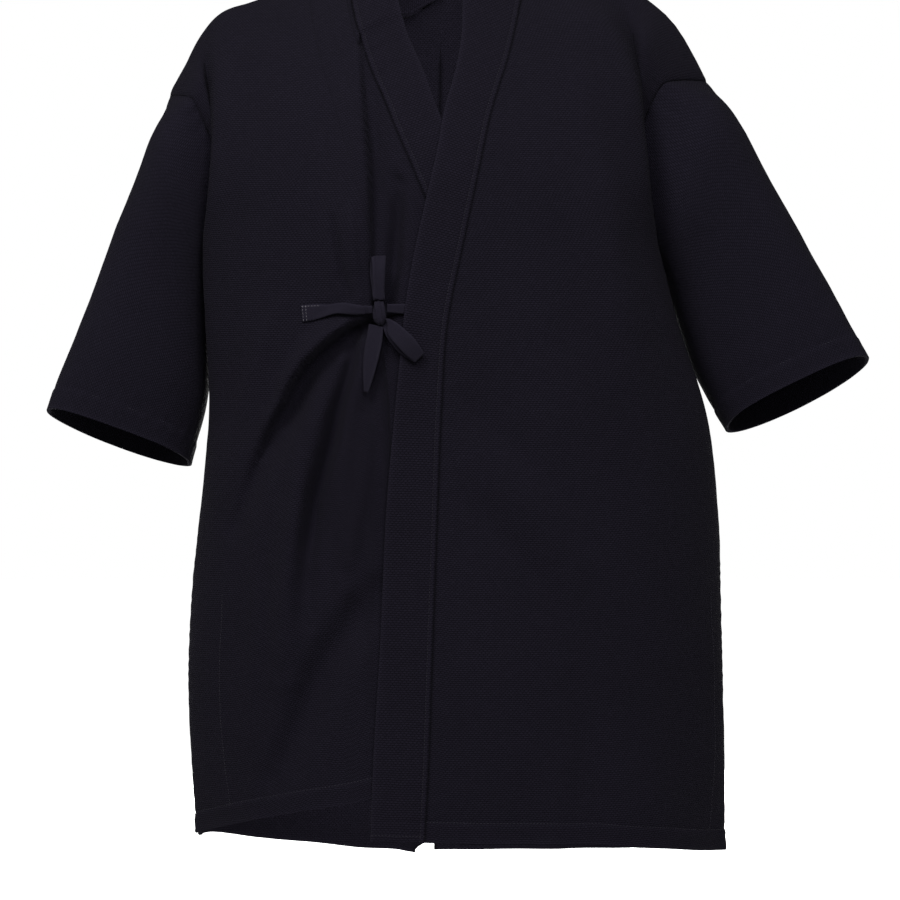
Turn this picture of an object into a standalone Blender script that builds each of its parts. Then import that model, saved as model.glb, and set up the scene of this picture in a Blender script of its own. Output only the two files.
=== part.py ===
"""Kendo jacket, filled out as if worn, with no wearer inside.

Metres, +Z up, front towards -Y, wearer's left towards +X. The origin lies between the two
points where the collar meets the shoulder line, and the wearer's shoulders carry the jacket there.
Every panel is a wall of cloth lofted through sections: rings of the trunk under the arms, slanted
sections over chest, shoulder and back above them, and rings along each sleeve.
"""

import bisect
from collections import namedtuple
from math import copysign, cos, inf, pi, radians, sin, sqrt

import bpy
from mathutils import Vector
from mathutils.bvhtree import BVHTree

# Cloth
CLOTH = 0.002
BAND_CLOTH = 0.004
TAPE_CLOTH = 0.0016
SEAM_GAP = 0.0003
HALF_GAP = 0.0002
MOST_ROOM = 0.006
LEAST_TURN = 0.01
SLEEVE_CLEAR = 0.0029
STEEPEST = 0.5

# Levels of the trunk, down from the shoulder line
UNDERARM_Z = -0.270
SLIT_TOP_Z = -0.617
VENT_TOP_Z = -0.690
RING_LEVELS = (UNDERARM_Z, -0.350, -0.430, -0.520, SLIT_TOP_Z)
HEM_STEPS = (0.34, 0.68, 1.0)

# Half widths and depths of the trunk. "tuck" is how far the side seam lies inside the fold at the
# front of the armpit, and "corner" is how squarely the front turns towards the side.
Ring = namedtuple("Ring", "z right left front back fold_y tuck corner")
RINGS = (
    Ring(-0.270, -0.2300, 0.2085, 0.122, 0.120, -0.048, 0.018, 2.3),
    Ring(-0.350, -0.2270, 0.2295, 0.121, 0.112, -0.044, 0.013, 2.3),
    Ring(-0.430, -0.2246, 0.2560, 0.117, 0.103, -0.032, 0.009, 2.2),
    Ring(-0.520, -0.2316, 0.2676, 0.115, 0.102, -0.020, 0.002, 2.1),
    Ring(-0.617, -0.2422, 0.2720, 0.117, 0.110, -0.014, 0.001, 2.0),
    Ring(-0.700, -0.2460, 0.2745, 0.121, 0.116, -0.014, 0.001, 1.9),
    Ring(-0.784, -0.2420, 0.2756, 0.126, 0.121, -0.014, 0.001, 1.9),
    Ring(-0.870, -0.2365, 0.2768, 0.131, 0.125, -0.014, 0.001, 1.9),
)
SEAM_Y = 0.018
SEAM_LOW_Y = 0.0
SLIT_OPEN = 0.010
SLIT_INWARD = 0.006
SIDE_BULGE = 0.10
BACK_TURN = 0.03
VENT_OPEN = 0.019

# The slanted sections from the underarm (0) up to the shoulder line (1): how far up they are,
# and how much of the trunk's depth is left, in front and at the back.
Rise = namedtuple("Rise", "way up front back")
RISES = (
    Rise(0.0, 0.00, 1.000, 1.000),
    Rise(0.2, 0.23, 0.985, 1.010),
    Rise(0.4, 0.45, 0.890, 0.960),
    Rise(0.6, 0.66, 0.715, 0.820),
    Rise(0.8, 0.85, 0.430, 0.540),
    Rise(0.9, 0.93, 0.250, 0.310),
    Rise(1.0, 1.00, 0.000, 0.000),
)
FRONT_WAYS = (0.0, 0.2, 0.4, 0.6, 0.8, 1.0)
BACK_WAYS = (1.0, 0.9, 0.8, 0.6, 0.4, 0.2, 0.0)
NECK_WAY = 0.8

# Where the fold beside the armpit runs, from the underarm (0) to the shoulder line (1), with the
# depth of the valley behind it, in front and at the back
Fold = namedtuple("Fold", "way right right_deep left left_deep back_right back_left back_deep")
FOLDS = (
    Fold(0.0, -0.2300, 0.004, 0.2085, 0.004, -0.2065, 0.1910, 0.000),
    Fold(0.2, -0.2235, 0.006, 0.2005, 0.002, -0.2060, 0.1885, 0.000),
    Fold(0.4, -0.2200, 0.009, 0.1945, 0.003, -0.2060, 0.1860, 0.002),
    Fold(0.6, -0.2190, 0.012, 0.1860, 0.008, -0.2075, 0.1840, 0.006),
    Fold(0.8, -0.2190, 0.012, 0.1600, 0.016, -0.2120, 0.1740, 0.006),
    Fold(0.9, -0.2175, 0.006, 0.1440, 0.010, -0.2170, 0.1560, 0.003),
    Fold(1.0, -0.2150, 0.000, 0.1320, 0.000, -0.2150, 0.1320, 0.000),
)

# The shoulder line, out from the neck
Shoulder = namedtuple("Shoulder", "x z")
SHOULDER_RIGHT = (
    Shoulder(-0.089, 0.0), Shoulder(-0.180, -0.0309), Shoulder(-0.2117, -0.0412),
    Shoulder(-0.2243, -0.0490), Shoulder(-0.2460, -0.0882), Shoulder(-0.2656, -0.1240),
)
SHOULDER_LEFT = (
    Shoulder(0.083, 0.0), Shoulder(0.2048, -0.0319), Shoulder(0.2195, -0.0458),
    Shoulder(0.2342, -0.0638), Shoulder(0.2440, -0.0798), Shoulder(0.2600, -0.1100),
)

# Armhole seam, from the underarm (0) to the shoulder line (1): how far it bows forward and back
# off the line between those two points, and how far its front is drawn in to the neck and up
Armhole = namedtuple("Armhole", "way front back right_in right_up left_in left_up")
ARMHOLE = (
    Armhole(0.00, 0.000, 0.000, 0.000, 0.000, 0.000, 0.000),
    Armhole(0.25, 0.032, 0.025, 0.005, 0.013, 0.011, 0.012),
    Armhole(0.50, 0.046, 0.044, 0.019, 0.012, 0.034, 0.020),
    Armhole(0.75, 0.047, 0.038, 0.021, 0.010, 0.042, 0.012),
    Armhole(0.90, 0.038, 0.018, 0.012, 0.002, 0.023, 0.003),
    Armhole(1.00, 0.000, 0.000, 0.000, 0.000, 0.000, 0.000),
)
UNDERARM_RIGHT_X = -0.2092
UNDERARM_LEFT_X = 0.1955
BACK_DRAW = 0.37

# Sleeve sections from just past the armhole to the cuff. Each is an oval from its outer point to
# its inner one; "lift" raises its front edge over its back edge.
Cuff = namedtuple("Cuff", "outer_x outer_z inner_x inner_y inner_z half_depth lift")
SLEEVE_CORNER = 2.6
SLEEVE_RIGHT = (
    Cuff(-0.2700, -0.1435, -0.2245, 0.022, -0.2880, 0.064, 0.004),
    Cuff(-0.3015, -0.2170, -0.2270, 0.026, -0.3430, 0.060, 0.004),
    Cuff(-0.3440, -0.3270, -0.2300, 0.024, -0.4170, 0.052, 0.005),
    Cuff(-0.3850, -0.4335, -0.2475, 0.020, -0.4840, 0.043, 0.0105),
)
SLEEVE_LEFT = (
    Cuff(0.2715, -0.1265, 0.2125, 0.022, -0.2860, 0.064, 0.006),
    Cuff(0.3150, -0.1965, 0.2290, 0.028, -0.3300, 0.060, 0.008),
    Cuff(0.3725, -0.3020, 0.2520, 0.026, -0.3950, 0.052, 0.012),
    Cuff(0.4175, -0.3840, 0.2815, 0.020, -0.4490, 0.043, 0.015),
)

# Front edges of both fronts, where the collar band is sewn on, and the band's free edge. "rise" is
# how much higher the free edge is than the point of the seam that it lies square to.
Edge = namedtuple("Edge", "z over_seam over_free under_seam under_free rise")
EDGES = (
    Edge(0.020, 0.0830, 0.0430, -0.0890, -0.0560, 0.030),
    Edge(0.000, 0.0830, 0.0300, -0.0890, -0.0490, 0.030),
    Edge(-0.034, 0.0776, 0.0213, -0.0863, -0.0414, 0.022),
    Edge(-0.070, 0.0696, 0.0199, -0.0806, -0.0315, 0.018),
    Edge(-0.106, 0.0616, 0.0140, -0.0650, -0.0165, 0.017),
    Edge(-0.145, 0.0490, 0.0035, -0.0503, -0.0025, 0.016),
    Edge(-0.184, 0.0403, -0.0034, -0.0345, 0.0130, 0.014),
    Edge(-0.232, 0.0307, -0.0142, -0.0130, 0.0330, 0.012),
    Edge(-0.280, 0.0202, -0.0248, 0.0050, 0.0510, 0.010),
    Edge(-0.330, 0.0092, -0.0334, 0.0190, 0.0660, 0.008),
    Edge(-0.394, 0.0031, -0.0398, 0.0330, 0.0810, 0.004),
    Edge(-0.451, -0.0002, -0.0455, 0.0390, 0.0880, 0.002),
    Edge(-0.518, -0.0026, -0.0512, 0.0435, 0.0935, 0.001),
    Edge(-0.651, -0.0074, -0.0575, 0.0490, 0.1000, 0.001),
    Edge(-0.785, -0.0121, -0.0650, 0.0540, 0.1060, 0.001),
    Edge(-0.860, -0.0159, -0.0671, 0.0560, 0.1080, 0.001),
)

# Hem heights across the fronts and the back
Hem = namedtuple("Hem", "x z")
HEM_OVER = (
    Hem(-0.070, -0.8405), Hem(0.0, -0.8437), Hem(0.150, -0.8470), Hem(0.240, -0.8560), Hem(0.279, -0.8604),
)
HEM_UNDER = (
    Hem(-0.240, -0.8455), Hem(-0.197, -0.8336), Hem(-0.155, -0.8252), Hem(-0.127, -0.8184),
    Hem(-0.093, -0.8062), Hem(-0.066, -0.8005), Hem(0.108, -0.7700),
)
HEM_BACK = (
    Hem(-0.240, -0.8518), Hem(-0.137, -0.8636), Hem(-0.028, -0.8730), Hem(0.150, -0.8710),
    Hem(0.279, -0.8630),
)
HEM_Z = -0.860

# Centre-back seam, seen from the front
CENTRE_BACK = (Hem(0.0, -0.018), Hem(-0.003, -0.270), Hem(-0.010, -0.617), Hem(-0.0167, -0.873))

# Collar round the neck from the wearer's left to the wearer's right: the neckline seam, and the
# free edge that stands above it
Neck = namedtuple("Neck", "x y z free_x free_y free_z")
NECK = (
    Neck(0.083, 0.000, 0.000, 0.0640, -0.0100, 0.0400),
    Neck(0.069, 0.036, -0.006, 0.0600, 0.0290, 0.0390),
    Neck(0.036, 0.062, -0.012, 0.0320, 0.0530, 0.0330),
    Neck(0.000, 0.071, -0.018, 0.0000, 0.0610, 0.0270),
    Neck(-0.037, 0.062, -0.041, -0.0350, 0.0520, 0.0050),
    Neck(-0.069, 0.038, -0.024, -0.0610, 0.0290, 0.0200),
    Neck(-0.089, 0.000, 0.000, -0.0700, -0.0100, 0.0400),
)

# How far the over-front stands off the under-front, and where that fades out to the side seam
OVER_STAND = 0.0065
BAND_STAND = 0.0012
BAND_FORWARD = 0.008
NECK_GAP = 0.0031
NECK_GAP_Y = 0.030
SLEEVE_GAP = 0.0011
NECK_PIT_Z = -0.030
NECK_TURN_Z = -0.100
FADE_FROM_X = 0.110
FADE_TO_X = 0.255

# Largest folds of the fronts, as seen from in front. Each runs through a few places; "height" is
# outward, and "near" and "far" are its half widths towards the wearer's right and left.
Crease = namedtuple("Crease", "name height near far path")
CREASE_END = 0.06
CREASES_UNDER = (
    Crease("tuck by the collar", 0.0070, 0.050, 0.013,
           ((-0.073, -0.10), (-0.074, -0.18), (-0.076, -0.26), (-0.074, -0.315))),
    Crease("ridge up to the bow", 0.0075, 0.016, 0.018,
           ((-0.069, -0.33), (-0.100, -0.348), (-0.125, -0.372), (-0.145, -0.405), (-0.160, -0.452))),
    Crease("hollow under that ridge", -0.0090, 0.022, 0.024,
           ((-0.095, -0.372), (-0.126, -0.415), (-0.160, -0.460), (-0.200, -0.535))),
    Crease("long ridge below the bow", 0.0070, 0.022, 0.020,
           ((-0.095, -0.358), (-0.114, -0.420), (-0.136, -0.500), (-0.149, -0.580), (-0.150, -0.690))),
    Crease("valley beside the long ridge", -0.0065, 0.018, 0.022,
           ((-0.084, -0.352), (-0.098, -0.405), (-0.120, -0.490), (-0.127, -0.600))),
    Crease("ridge beside the band", 0.0055, 0.020, 0.018,
           ((-0.072, -0.365), (-0.086, -0.430), (-0.093, -0.530), (-0.088, -0.600))),
    Crease("slanting valley at the hem", -0.0060, 0.026, 0.026,
           ((-0.060, -0.605), (-0.085, -0.640), (-0.118, -0.690), (-0.138, -0.745), (-0.158, -0.785))),
)
CREASES_OVER = (
    Crease("slanting trough at the waist", -0.0030, 0.035, 0.035,
           ((0.020, -0.400), (0.055, -0.440), (0.105, -0.495))),
    Crease("slanting ridge at the waist", 0.0040, 0.035, 0.035,
           ((0.040, -0.480), (0.085, -0.530), (0.125, -0.580))),
    Crease("soft ridge under the chest", 0.0050, 0.045, 0.045,
           ((0.150, -0.230), (0.180, -0.300), (0.190, -0.380))),
)
CREASES_BACK = (
    Crease("fold from the right shoulder blade", 0.0055, 0.030, 0.030,
           ((-0.165, -0.180), (-0.140, -0.300), (-0.120, -0.440))),
    Crease("fold from the left shoulder blade", 0.0060, 0.030, 0.030,
           ((0.160, -0.180), (0.130, -0.310), (0.115, -0.470))),
    Crease("hang below the right waist", 0.0050, 0.028, 0.028,
           ((-0.090, -0.480), (-0.105, -0.620), (-0.110, -0.780))),
    Crease("hang below the left waist", 0.0050, 0.028, 0.028,
           ((0.120, -0.500), (0.110, -0.640), (0.120, -0.800))),
)

# Steps of the walls across and along, for each stretch between guide points
ACROSS = (4, 4, 4, 4, 2, 2, 3)
CHEST_GUIDES = (0.0, 0.25, 0.5, 0.78)
VALLEY_PLACE = 0.36
CAP_PLACE = 0.68
CAP_RISE = 0.25
VALLEY_LEAN = 0.3
ALONG_FRONT = (2, 2, 3, 4, 4, 4, 3, 2, 2, 2, 2, 2)
ALONG_BACK = (3, 2, 2, 2, 2, 2, 2, 2, 2, 2, 1, 1, 1)
SLEEVE_ALONG = (3, 3, 3, 3)
BAND_ACROSS = 3

# Ties, on the wearer's right front as seen from in front: the middle of the tape, how far it lies
# off the cloth, its width, and how far it is rolled about its own length, in degrees
Tape = namedtuple("Tape", "x z lift width roll")
TAPES = {
    "tie_right": (
        Tape(-0.1322, -0.3402, 0.0003, 0.0160, 0), Tape(-0.1170, -0.3390, 0.0010, 0.0150, 0),
        Tape(-0.0990, -0.3374, 0.0036, 0.0108, 0), Tape(-0.0800, -0.3360, 0.0060, 0.0064, 0),
        Tape(-0.0656, -0.3354, 0.0068, 0.0058, 0),
    ),
    "tie_left": (
        Tape(-0.0235, -0.3364, 0.0012, 0.0098, 0), Tape(-0.0330, -0.3362, 0.0018, 0.0096, 0),
        Tape(-0.0430, -0.3358, 0.0040, 0.0088, 0), Tape(-0.0508, -0.3354, 0.0060, 0.0078, 0),
    ),
    "bow_loop_up": (
        Tape(-0.0590, -0.3283, 0.0046, 0.0112, 0), Tape(-0.0600, -0.3130, 0.0040, 0.0146, 0),
        Tape(-0.0606, -0.2970, 0.0046, 0.0172, 0), Tape(-0.0607, -0.2868, 0.0085, 0.0180, 0),
        Tape(-0.0606, -0.2970, 0.0124, 0.0172, 0), Tape(-0.0600, -0.3130, 0.0126, 0.0146, 0),
        Tape(-0.0590, -0.3283, 0.0100, 0.0112, 0),
    ),
    "bow_loop_down": (
        Tape(-0.0512, -0.3500, 0.0066, 0.0090, 0), Tape(-0.0452, -0.3582, 0.0088, 0.0140, 0),
        Tape(-0.0330, -0.3716, 0.0092, 0.0165, 0), Tape(-0.0202, -0.3818, 0.0128, 0.0125, 0),
        Tape(-0.0300, -0.3700, 0.0168, 0.0165, 0), Tape(-0.0430, -0.3566, 0.0158, 0.0145, 0),
        Tape(-0.0498, -0.3494, 0.0114, 0.0090, 0),
    ),
    "bow_tail": (
        Tape(-0.0596, -0.3519, 0.0062, 0.0130, 20), Tape(-0.0618, -0.3720, 0.0066, 0.0150, 35),
        Tape(-0.0660, -0.3930, 0.0060, 0.0130, 35), Tape(-0.0707, -0.4144, 0.0056, 0.0070, 35),
    ),
}
NEARBY = 0.004
TAPE_ACROSS = 2
TAPE_ALONG = 3
KNOT = (-0.0586, -0.3388)
KNOT_LIFT = 0.0085
KNOT_RADII = (0.0062, 0.0068, 0.0118)
KNOT_CORNER = 2.6
KNOT_STEPS = (16, 8)

INDIGO = (0.0093, 0.0082, 0.0130)
COLLECTION = "kendo_jacket"


def smooth_slopes(places, values):
    """Slopes at each place that keep a curve through the values from overshooting them."""
    steps = [b - a for a, b in zip(places, places[1:])]
    rates = [(b - a) / step for a, b, step in zip(values, values[1:], steps)]
    slopes = [rates[0]]
    for before, after, a, b in zip(rates, rates[1:], steps, steps[1:]):
        if before * after <= 0:
            slopes.append(0.0)
        else:
            slopes.append((before * b + after * a) / (a + b))
    slopes.append(rates[-1])
    steepest = [3 * min(abs(a), abs(b)) for a, b in zip(rates[:1] + rates, rates + rates[-1:])]
    return [max(-most, min(most, slope)) for slope, most in zip(slopes, steepest)]


def curve_at(places, values, place):
    """The value at one place of the smooth curve through a table's rows."""
    if places[0] > places[-1]:
        places, values = places[::-1], values[::-1]
    slopes = smooth_slopes(places, values)
    i = min(max(bisect.bisect_right(places, place) - 1, 0), len(places) - 2)
    span = places[i + 1] - places[i]
    t = min(max((place - places[i]) / span, 0.0), 1.0)
    return (
        values[i] * (1 + 2 * t) * (1 - t) ** 2 + span * slopes[i] * t * (1 - t) ** 2
        + values[i + 1] * t * t * (3 - 2 * t) + span * slopes[i + 1] * t * t * (t - 1)
    )


def read(table, column, place, key=None):
    """One column of a table of rows, read at a place along its key column."""
    key = key or table[0]._fields[0]
    return curve_at([getattr(row, key) for row in table], [getattr(row, column) for row in table], place)


def mix(a, b, t):
    return a + (b - a) * t


def ease(t):
    t = min(max(t, 0.0), 1.0)
    return t * t * (3 - 2 * t)


def spline(points, counts, corners=()):
    """Points on a smooth curve through the given ones, with counts[i] steps in stretch i.

    `corners` are the places in the list where the curve may turn sharply. The sharper the turn at
    a point, the closer the curve keeps to the straight line beside it.
    """
    if corners:
        at = corners[0]
        rest = [corner - at for corner in corners[1:]]
        return spline(points[:at + 1], counts[:at]) + spline(points[at:], counts[at:], rest)[1:]
    spans = [max((b - a).length, 1e-6) for a, b in zip(points, points[1:])]
    rates = [(b - a) / span for a, b, span in zip(points, points[1:], spans)]
    slopes = [rates[0]]
    for i in range(1, len(points) - 1):
        slopes.append((rates[i - 1] * spans[i] + rates[i] * spans[i - 1]) / (spans[i - 1] + spans[i]))
    slopes.append(rates[-1])
    made = [points[0].copy()]
    for i, count in enumerate(counts):
        leave = slopes[i] * (spans[i] * max(slopes[i].dot(rates[i]), 0.0))
        arrive = slopes[i + 1] * (spans[i] * max(slopes[i + 1].dot(rates[i]), 0.0))
        for step in range(1, count + 1):
            t = step / count
            made.append(
                points[i] * ((1 + 2 * t) * (1 - t) ** 2) + leave * (t * (1 - t) ** 2)
                + points[i + 1] * (t * t * (3 - 2 * t)) + arrive * (t * t * (t - 1))
            )
    return made


def superellipse(place, corner):
    """Depth left at a place from the middle (0) to the side (1)."""
    place = min(abs(place), 1.0)
    return (1 - place ** corner) ** (1 / corner)


def trunk_centre(z):
    return (read(RINGS, "right", z) + read(RINGS, "left", z)) / 2


def shoulder_z(x):
    """Height of the shoulder line, level across the neck."""
    rows = SHOULDER_LEFT if x > 0 else SHOULDER_RIGHT
    if abs(x) <= abs(rows[0].x):
        return 0.0
    return curve_at([abs(row.x) for row in rows], [row.z for row in rows], abs(x))


def stand_off(x, side):
    """How far the over-front stands in front of the under-front."""
    if side == "right":
        return 0.0
    return OVER_STAND * (1 - ease((x - FADE_FROM_X) / (FADE_TO_X - FADE_FROM_X)))


def crease_height(x, z, creases):
    """Sum of the folds at a place, as seen from in front."""
    total = 0.0
    for crease in creases:
        nearest, side, along = inf, 0.0, 0.0
        stretches = list(zip(crease.path, crease.path[1:]))
        for i, ((ax, az), (bx, bz)) in enumerate(stretches):
            length = sqrt((bx - ax) ** 2 + (bz - az) ** 2)
            t = ((x - ax) * (bx - ax) + (z - az) * (bz - az)) / length ** 2
            held = min(max(t, 0.0), 1.0)
            off = sqrt((x - mix(ax, bx, held)) ** 2 + (z - mix(az, bz, held)) ** 2)
            if off < nearest:
                nearest = off
                side = x - mix(ax, bx, held)
                along = (i + held) / len(stretches)
        width = crease.near if side < 0 else crease.far
        if nearest < width:
            ends = sin(pi * min(max(along, CREASE_END), 1 - CREASE_END)) ** 0.5
            total += crease.height * ends * cos(pi * nearest / width / 2) ** 2
    return total


def trunk_depth(x, z, face):
    """Depth of the trunk at a place across it, in front or at the back, at or under the underarm."""
    z = min(z, UNDERARM_Z)
    centre = trunk_centre(z)
    edge = read(RINGS, "left" if x > centre else "right", z)
    edge_depth = -read(RINGS, "fold_y", z) if face == "front" else SEAM_Y
    place = (x - centre) / (edge - centre)
    return edge_depth + (read(RINGS, face, z) - edge_depth) * superellipse(place, read(RINGS, "corner", z))


def chest_base(x, z, side):
    """A point of a front before its folds, at a place as seen from in front, between the collar and
    the armpit fold."""
    top = shoulder_z(x)
    if z <= UNDERARM_Z:
        depth = trunk_depth(x, z, "front")
    else:
        up = (z - UNDERARM_Z) / (top - UNDERARM_Z)
        depth = trunk_depth(x, UNDERARM_Z, "front") * read(RISES, "front", up, key="up")
    return Vector((x, -depth - stand_off(x, side), z))


def chest_point(x, z, side):
    """The same point with the largest folds of the cloth."""
    point = chest_base(x, z, side)
    point.y -= crease_height(x, z, CREASES_OVER if side == "left" else CREASES_UNDER)
    return point


def back_point(x, way, z):
    """A point of the back before its folds, on the slanted section `way` above the underarm, or at a
    height under it."""
    if way is None:
        return Vector((x, trunk_depth(x, z, "back"), z))
    height = UNDERARM_Z + (shoulder_z(x) - UNDERARM_Z) * read(RISES, "up", way)
    depth = trunk_depth(x, UNDERARM_Z, "back") * read(RISES, "back", way)
    return Vector((x, depth, height))


def side_seam(z, side, face):
    """A point of the side seam, and under the slit's top of the front's or the back's own edge."""
    sign = 1 if side == "left" else -1
    edge = read(RINGS, side, z)
    down = min(max((SLIT_TOP_Z - z) / (SLIT_TOP_Z - HEM_Z), 0.0), 1.0)
    y = mix(SEAM_Y, SEAM_LOW_Y, ease((UNDERARM_Z - z) / (UNDERARM_Z - SLIT_TOP_Z)))
    apart = HALF_GAP + SLIT_OPEN * ease(down) * down
    if face == "front":
        return Vector((edge - sign * (read(RINGS, "tuck", z) + SLIT_INWARD * down), y - apart, z))
    return Vector((edge - sign * read(RINGS, "tuck", z), y + apart, z))


def armhole(side, way, face):
    """A point of the armhole seam, from the underarm (0) to the shoulder line (1)."""
    sign = 1 if side == "left" else -1
    shoulder = (SHOULDER_LEFT if side == "left" else SHOULDER_RIGHT)[-1]
    top = Vector((shoulder.x, 0.0, shoulder.z))
    under = Vector((UNDERARM_LEFT_X if side == "left" else UNDERARM_RIGHT_X, SEAM_Y, UNDERARM_Z))
    forward = -read(ARMHOLE, "front", way) if face == "front" else read(ARMHOLE, "back", way)
    share = 1.0 if face == "front" else BACK_DRAW
    place = (top + under) / 2 + (top - under) / 2 * cos(pi * (1 - way))
    drawn = Vector((-sign * read(ARMHOLE, f"{side}_in", way), 0.0, read(ARMHOLE, f"{side}_up", way)))
    return place + Vector((0.0, forward, 0.0)) + drawn * share


def armpit_guides(side, face, way):
    """The fold beside the armpit, the valley behind it, the cap over the arm and the armhole seam."""
    sign = 1 if side == "left" else -1
    outward = -1 if face == "front" else 1
    column = side if face == "front" else f"back_{side}"
    x = read(FOLDS, column, way)
    deep = read(FOLDS, f"{side}_deep" if face == "front" else "back_deep", way)
    if face == "front":
        height = UNDERARM_Z + (shoulder_z(x) - UNDERARM_Z) * read(RISES, "up", way)
        fold = chest_base(x, height, side)
    else:
        fold = back_point(x, way, None)
    seam = armhole(side, way, face)
    guides = [fold]
    for place, push in ((VALLEY_PLACE, -deep), (CAP_PLACE, CAP_RISE * deep)):
        point = fold.lerp(seam, place)
        ridge = shoulder_z(mix(read(FOLDS, column, 1.0), armhole(side, 1.0, face).x, place))
        chord = mix(shoulder_z(read(FOLDS, column, 1.0)), armhole(side, 1.0, face).z, place)
        point.z += (ridge - chord) * way ** 2
        point += Vector((-sign * VALLEY_LEAN * push, outward * push, 0.0))
        guides.append(point)
    guides.append(seam)
    return guides


def side_guides(side, face, z):
    """The same four guides under the arm, where they close up into the side of the trunk."""
    seam = side_seam(z, side, face)
    if face == "front":
        fold = chest_base(read(RINGS, side, z), z, side)
    else:
        fold = back_point(mix(seam.x, trunk_centre(z), BACK_TURN), None, z)
    sign = 1 if side == "left" else -1
    round_out = SIDE_BULGE * abs(fold.y - seam.y)
    guides = [fold]
    for place in (VALLEY_PLACE, CAP_PLACE):
        point = fold.lerp(seam, place)
        point.x += sign * round_out * sin(pi * place)
        guides.append(point)
    guides.append(seam)
    return guides


def neckline(side, part):
    """A point of the neckline seam from the side of the neck (0) to the centre back (1)."""
    return round_neck(part / 2 if side == "left" else 1 - part / 2, "x y z")


def round_neck(at, columns):
    """A point of the neck's table, from the wearer's left (0) to the wearer's right (1)."""
    places = range(len(NECK))
    at *= places[-1]
    return Vector([curve_at(places, [getattr(row, key) for row in NECK], at) for key in columns.split()])


def hem_z(table, x):
    return curve_at([row.x for row in table], [row.z for row in table], x)


def level_at(x, z, way, hem_part, hem):
    """Height of a section at a place across it: level, slanted above the underarm, or along the hem."""
    if way is not None:
        return UNDERARM_Z + (shoulder_z(x) - UNDERARM_Z) * read(RISES, "up", way)
    if hem_part:
        return mix(SLIT_TOP_Z, hem_z(hem, x), hem_part)
    return z


def front_row(side, z=None, way=None, hem_part=0.0):
    """Guide points of one front section, from the collar seam to the side or the armhole."""
    hem = HEM_OVER if side == "left" else HEM_UNDER
    if way is not None:
        z = UNDERARM_Z * (1 - read(RISES, "up", way))
        outer = armpit_guides(side, "front", way)
    else:
        side_x = hem[0 if side == "right" else -1].x
        outer = side_guides(side, "front", level_at(side_x, z, way, hem_part, hem))
    seam_column = "over_seam" if side == "left" else "under_seam"
    inner_x = read(EDGES, seam_column, level_at(0.0, z, None, hem_part, hem))
    guides = []
    for part in CHEST_GUIDES:
        x = mix(inner_x, outer[0].x, part)
        guides.append(chest_base(x, level_at(x, z, way, hem_part, hem), side))
    return guides + outer


def back_row(side, z=None, way=None, hem_part=0.0):
    """Guide points of one back section, from the neckline or the centre-back seam outwards."""
    sign = 1 if side == "left" else -1
    if way is not None:
        outer = armpit_guides(side, "back", way)
        level = UNDERARM_Z * (1 - read(RISES, "up", way))
    else:
        side_x = HEM_BACK[0 if side == "right" else -1].x
        outer = side_guides(side, "back", level_at(side_x, z, way, hem_part, HEM_BACK))
        level = level_at(CENTRE_BACK[-1].x, z, way, hem_part, HEM_BACK)
    if way is not None and way >= NECK_WAY:
        inner = neckline(side, (1 - way) / (1 - NECK_WAY))
    else:
        centre_x = curve_at([row.z for row in CENTRE_BACK], [row.x for row in CENTRE_BACK], level)
        inner = back_point(centre_x, way, level)
    if way is None or way <= NECK_WAY:
        down = (VENT_TOP_Z - level) / (VENT_TOP_Z - HEM_Z)
        inner.x += sign * (HALF_GAP + VENT_OPEN / 2 * ease(down))
    guides = []
    base = back_point(inner.x, way, level)
    for part in CHEST_GUIDES:
        x = mix(inner.x, outer[0].x, part)
        point = back_point(x, way, level_at(x, z, None, hem_part, HEM_BACK))
        guides.append(point + (inner - base) * (1 - part) ** 2)
    return guides + outer


def body_rows(side):
    """Sections of one half of the body, from the front hem over the shoulder to the back hem."""
    rows = [front_row(side, hem_part=part) for part in reversed(HEM_STEPS)]
    rows += [front_row(side, z=z) for z in reversed(RING_LEVELS[1:])]
    rows += [front_row(side, way=way) for way in FRONT_WAYS]
    rows += [back_row(side, way=way) for way in BACK_WAYS[1:]]
    rows += [back_row(side, z=z) for z in RING_LEVELS[1:]]
    rows += [back_row(side, hem_part=part) for part in HEM_STEPS]
    return rows


def body_grid(side):
    """Points of one half of the body: rows along it, each from its inner edge to its outer one."""
    across = [spline(row, ACROSS) for row in body_rows(side)]
    counts = ALONG_FRONT + ALONG_BACK
    columns = [spline(list(column), counts) for column in zip(*across)]
    shoulder = len(ALONG_FRONT)
    nape = shoulder + BACK_WAYS.index(NECK_WAY)
    underarms = (shoulder - len(FRONT_WAYS) + 1, shoulder + len(BACK_WAYS) - 1)
    columns[0] = spline([row[0] for row in across], counts, corners=(nape,))
    fold = sum(ACROSS[:len(CHEST_GUIDES)])
    for i in range(fold + 1, len(columns)):
        columns[i] = spline([row[i] for row in across], counts, corners=underarms)
    front_creases = CREASES_OVER if side == "left" else CREASES_UNDER
    for i, column in enumerate(columns):
        share = 1 - ease((i - fold) / (len(columns) - 1 - fold))
        for point in column[:sum(ALONG_FRONT)]:
            point.y -= share * crease_height(point.x, point.z, front_creases)
        for point in column[sum(ALONG_FRONT):]:
            point.y += share * crease_height(point.x, point.z, CREASES_BACK)
    return [list(row) for row in zip(*columns)]


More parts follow.
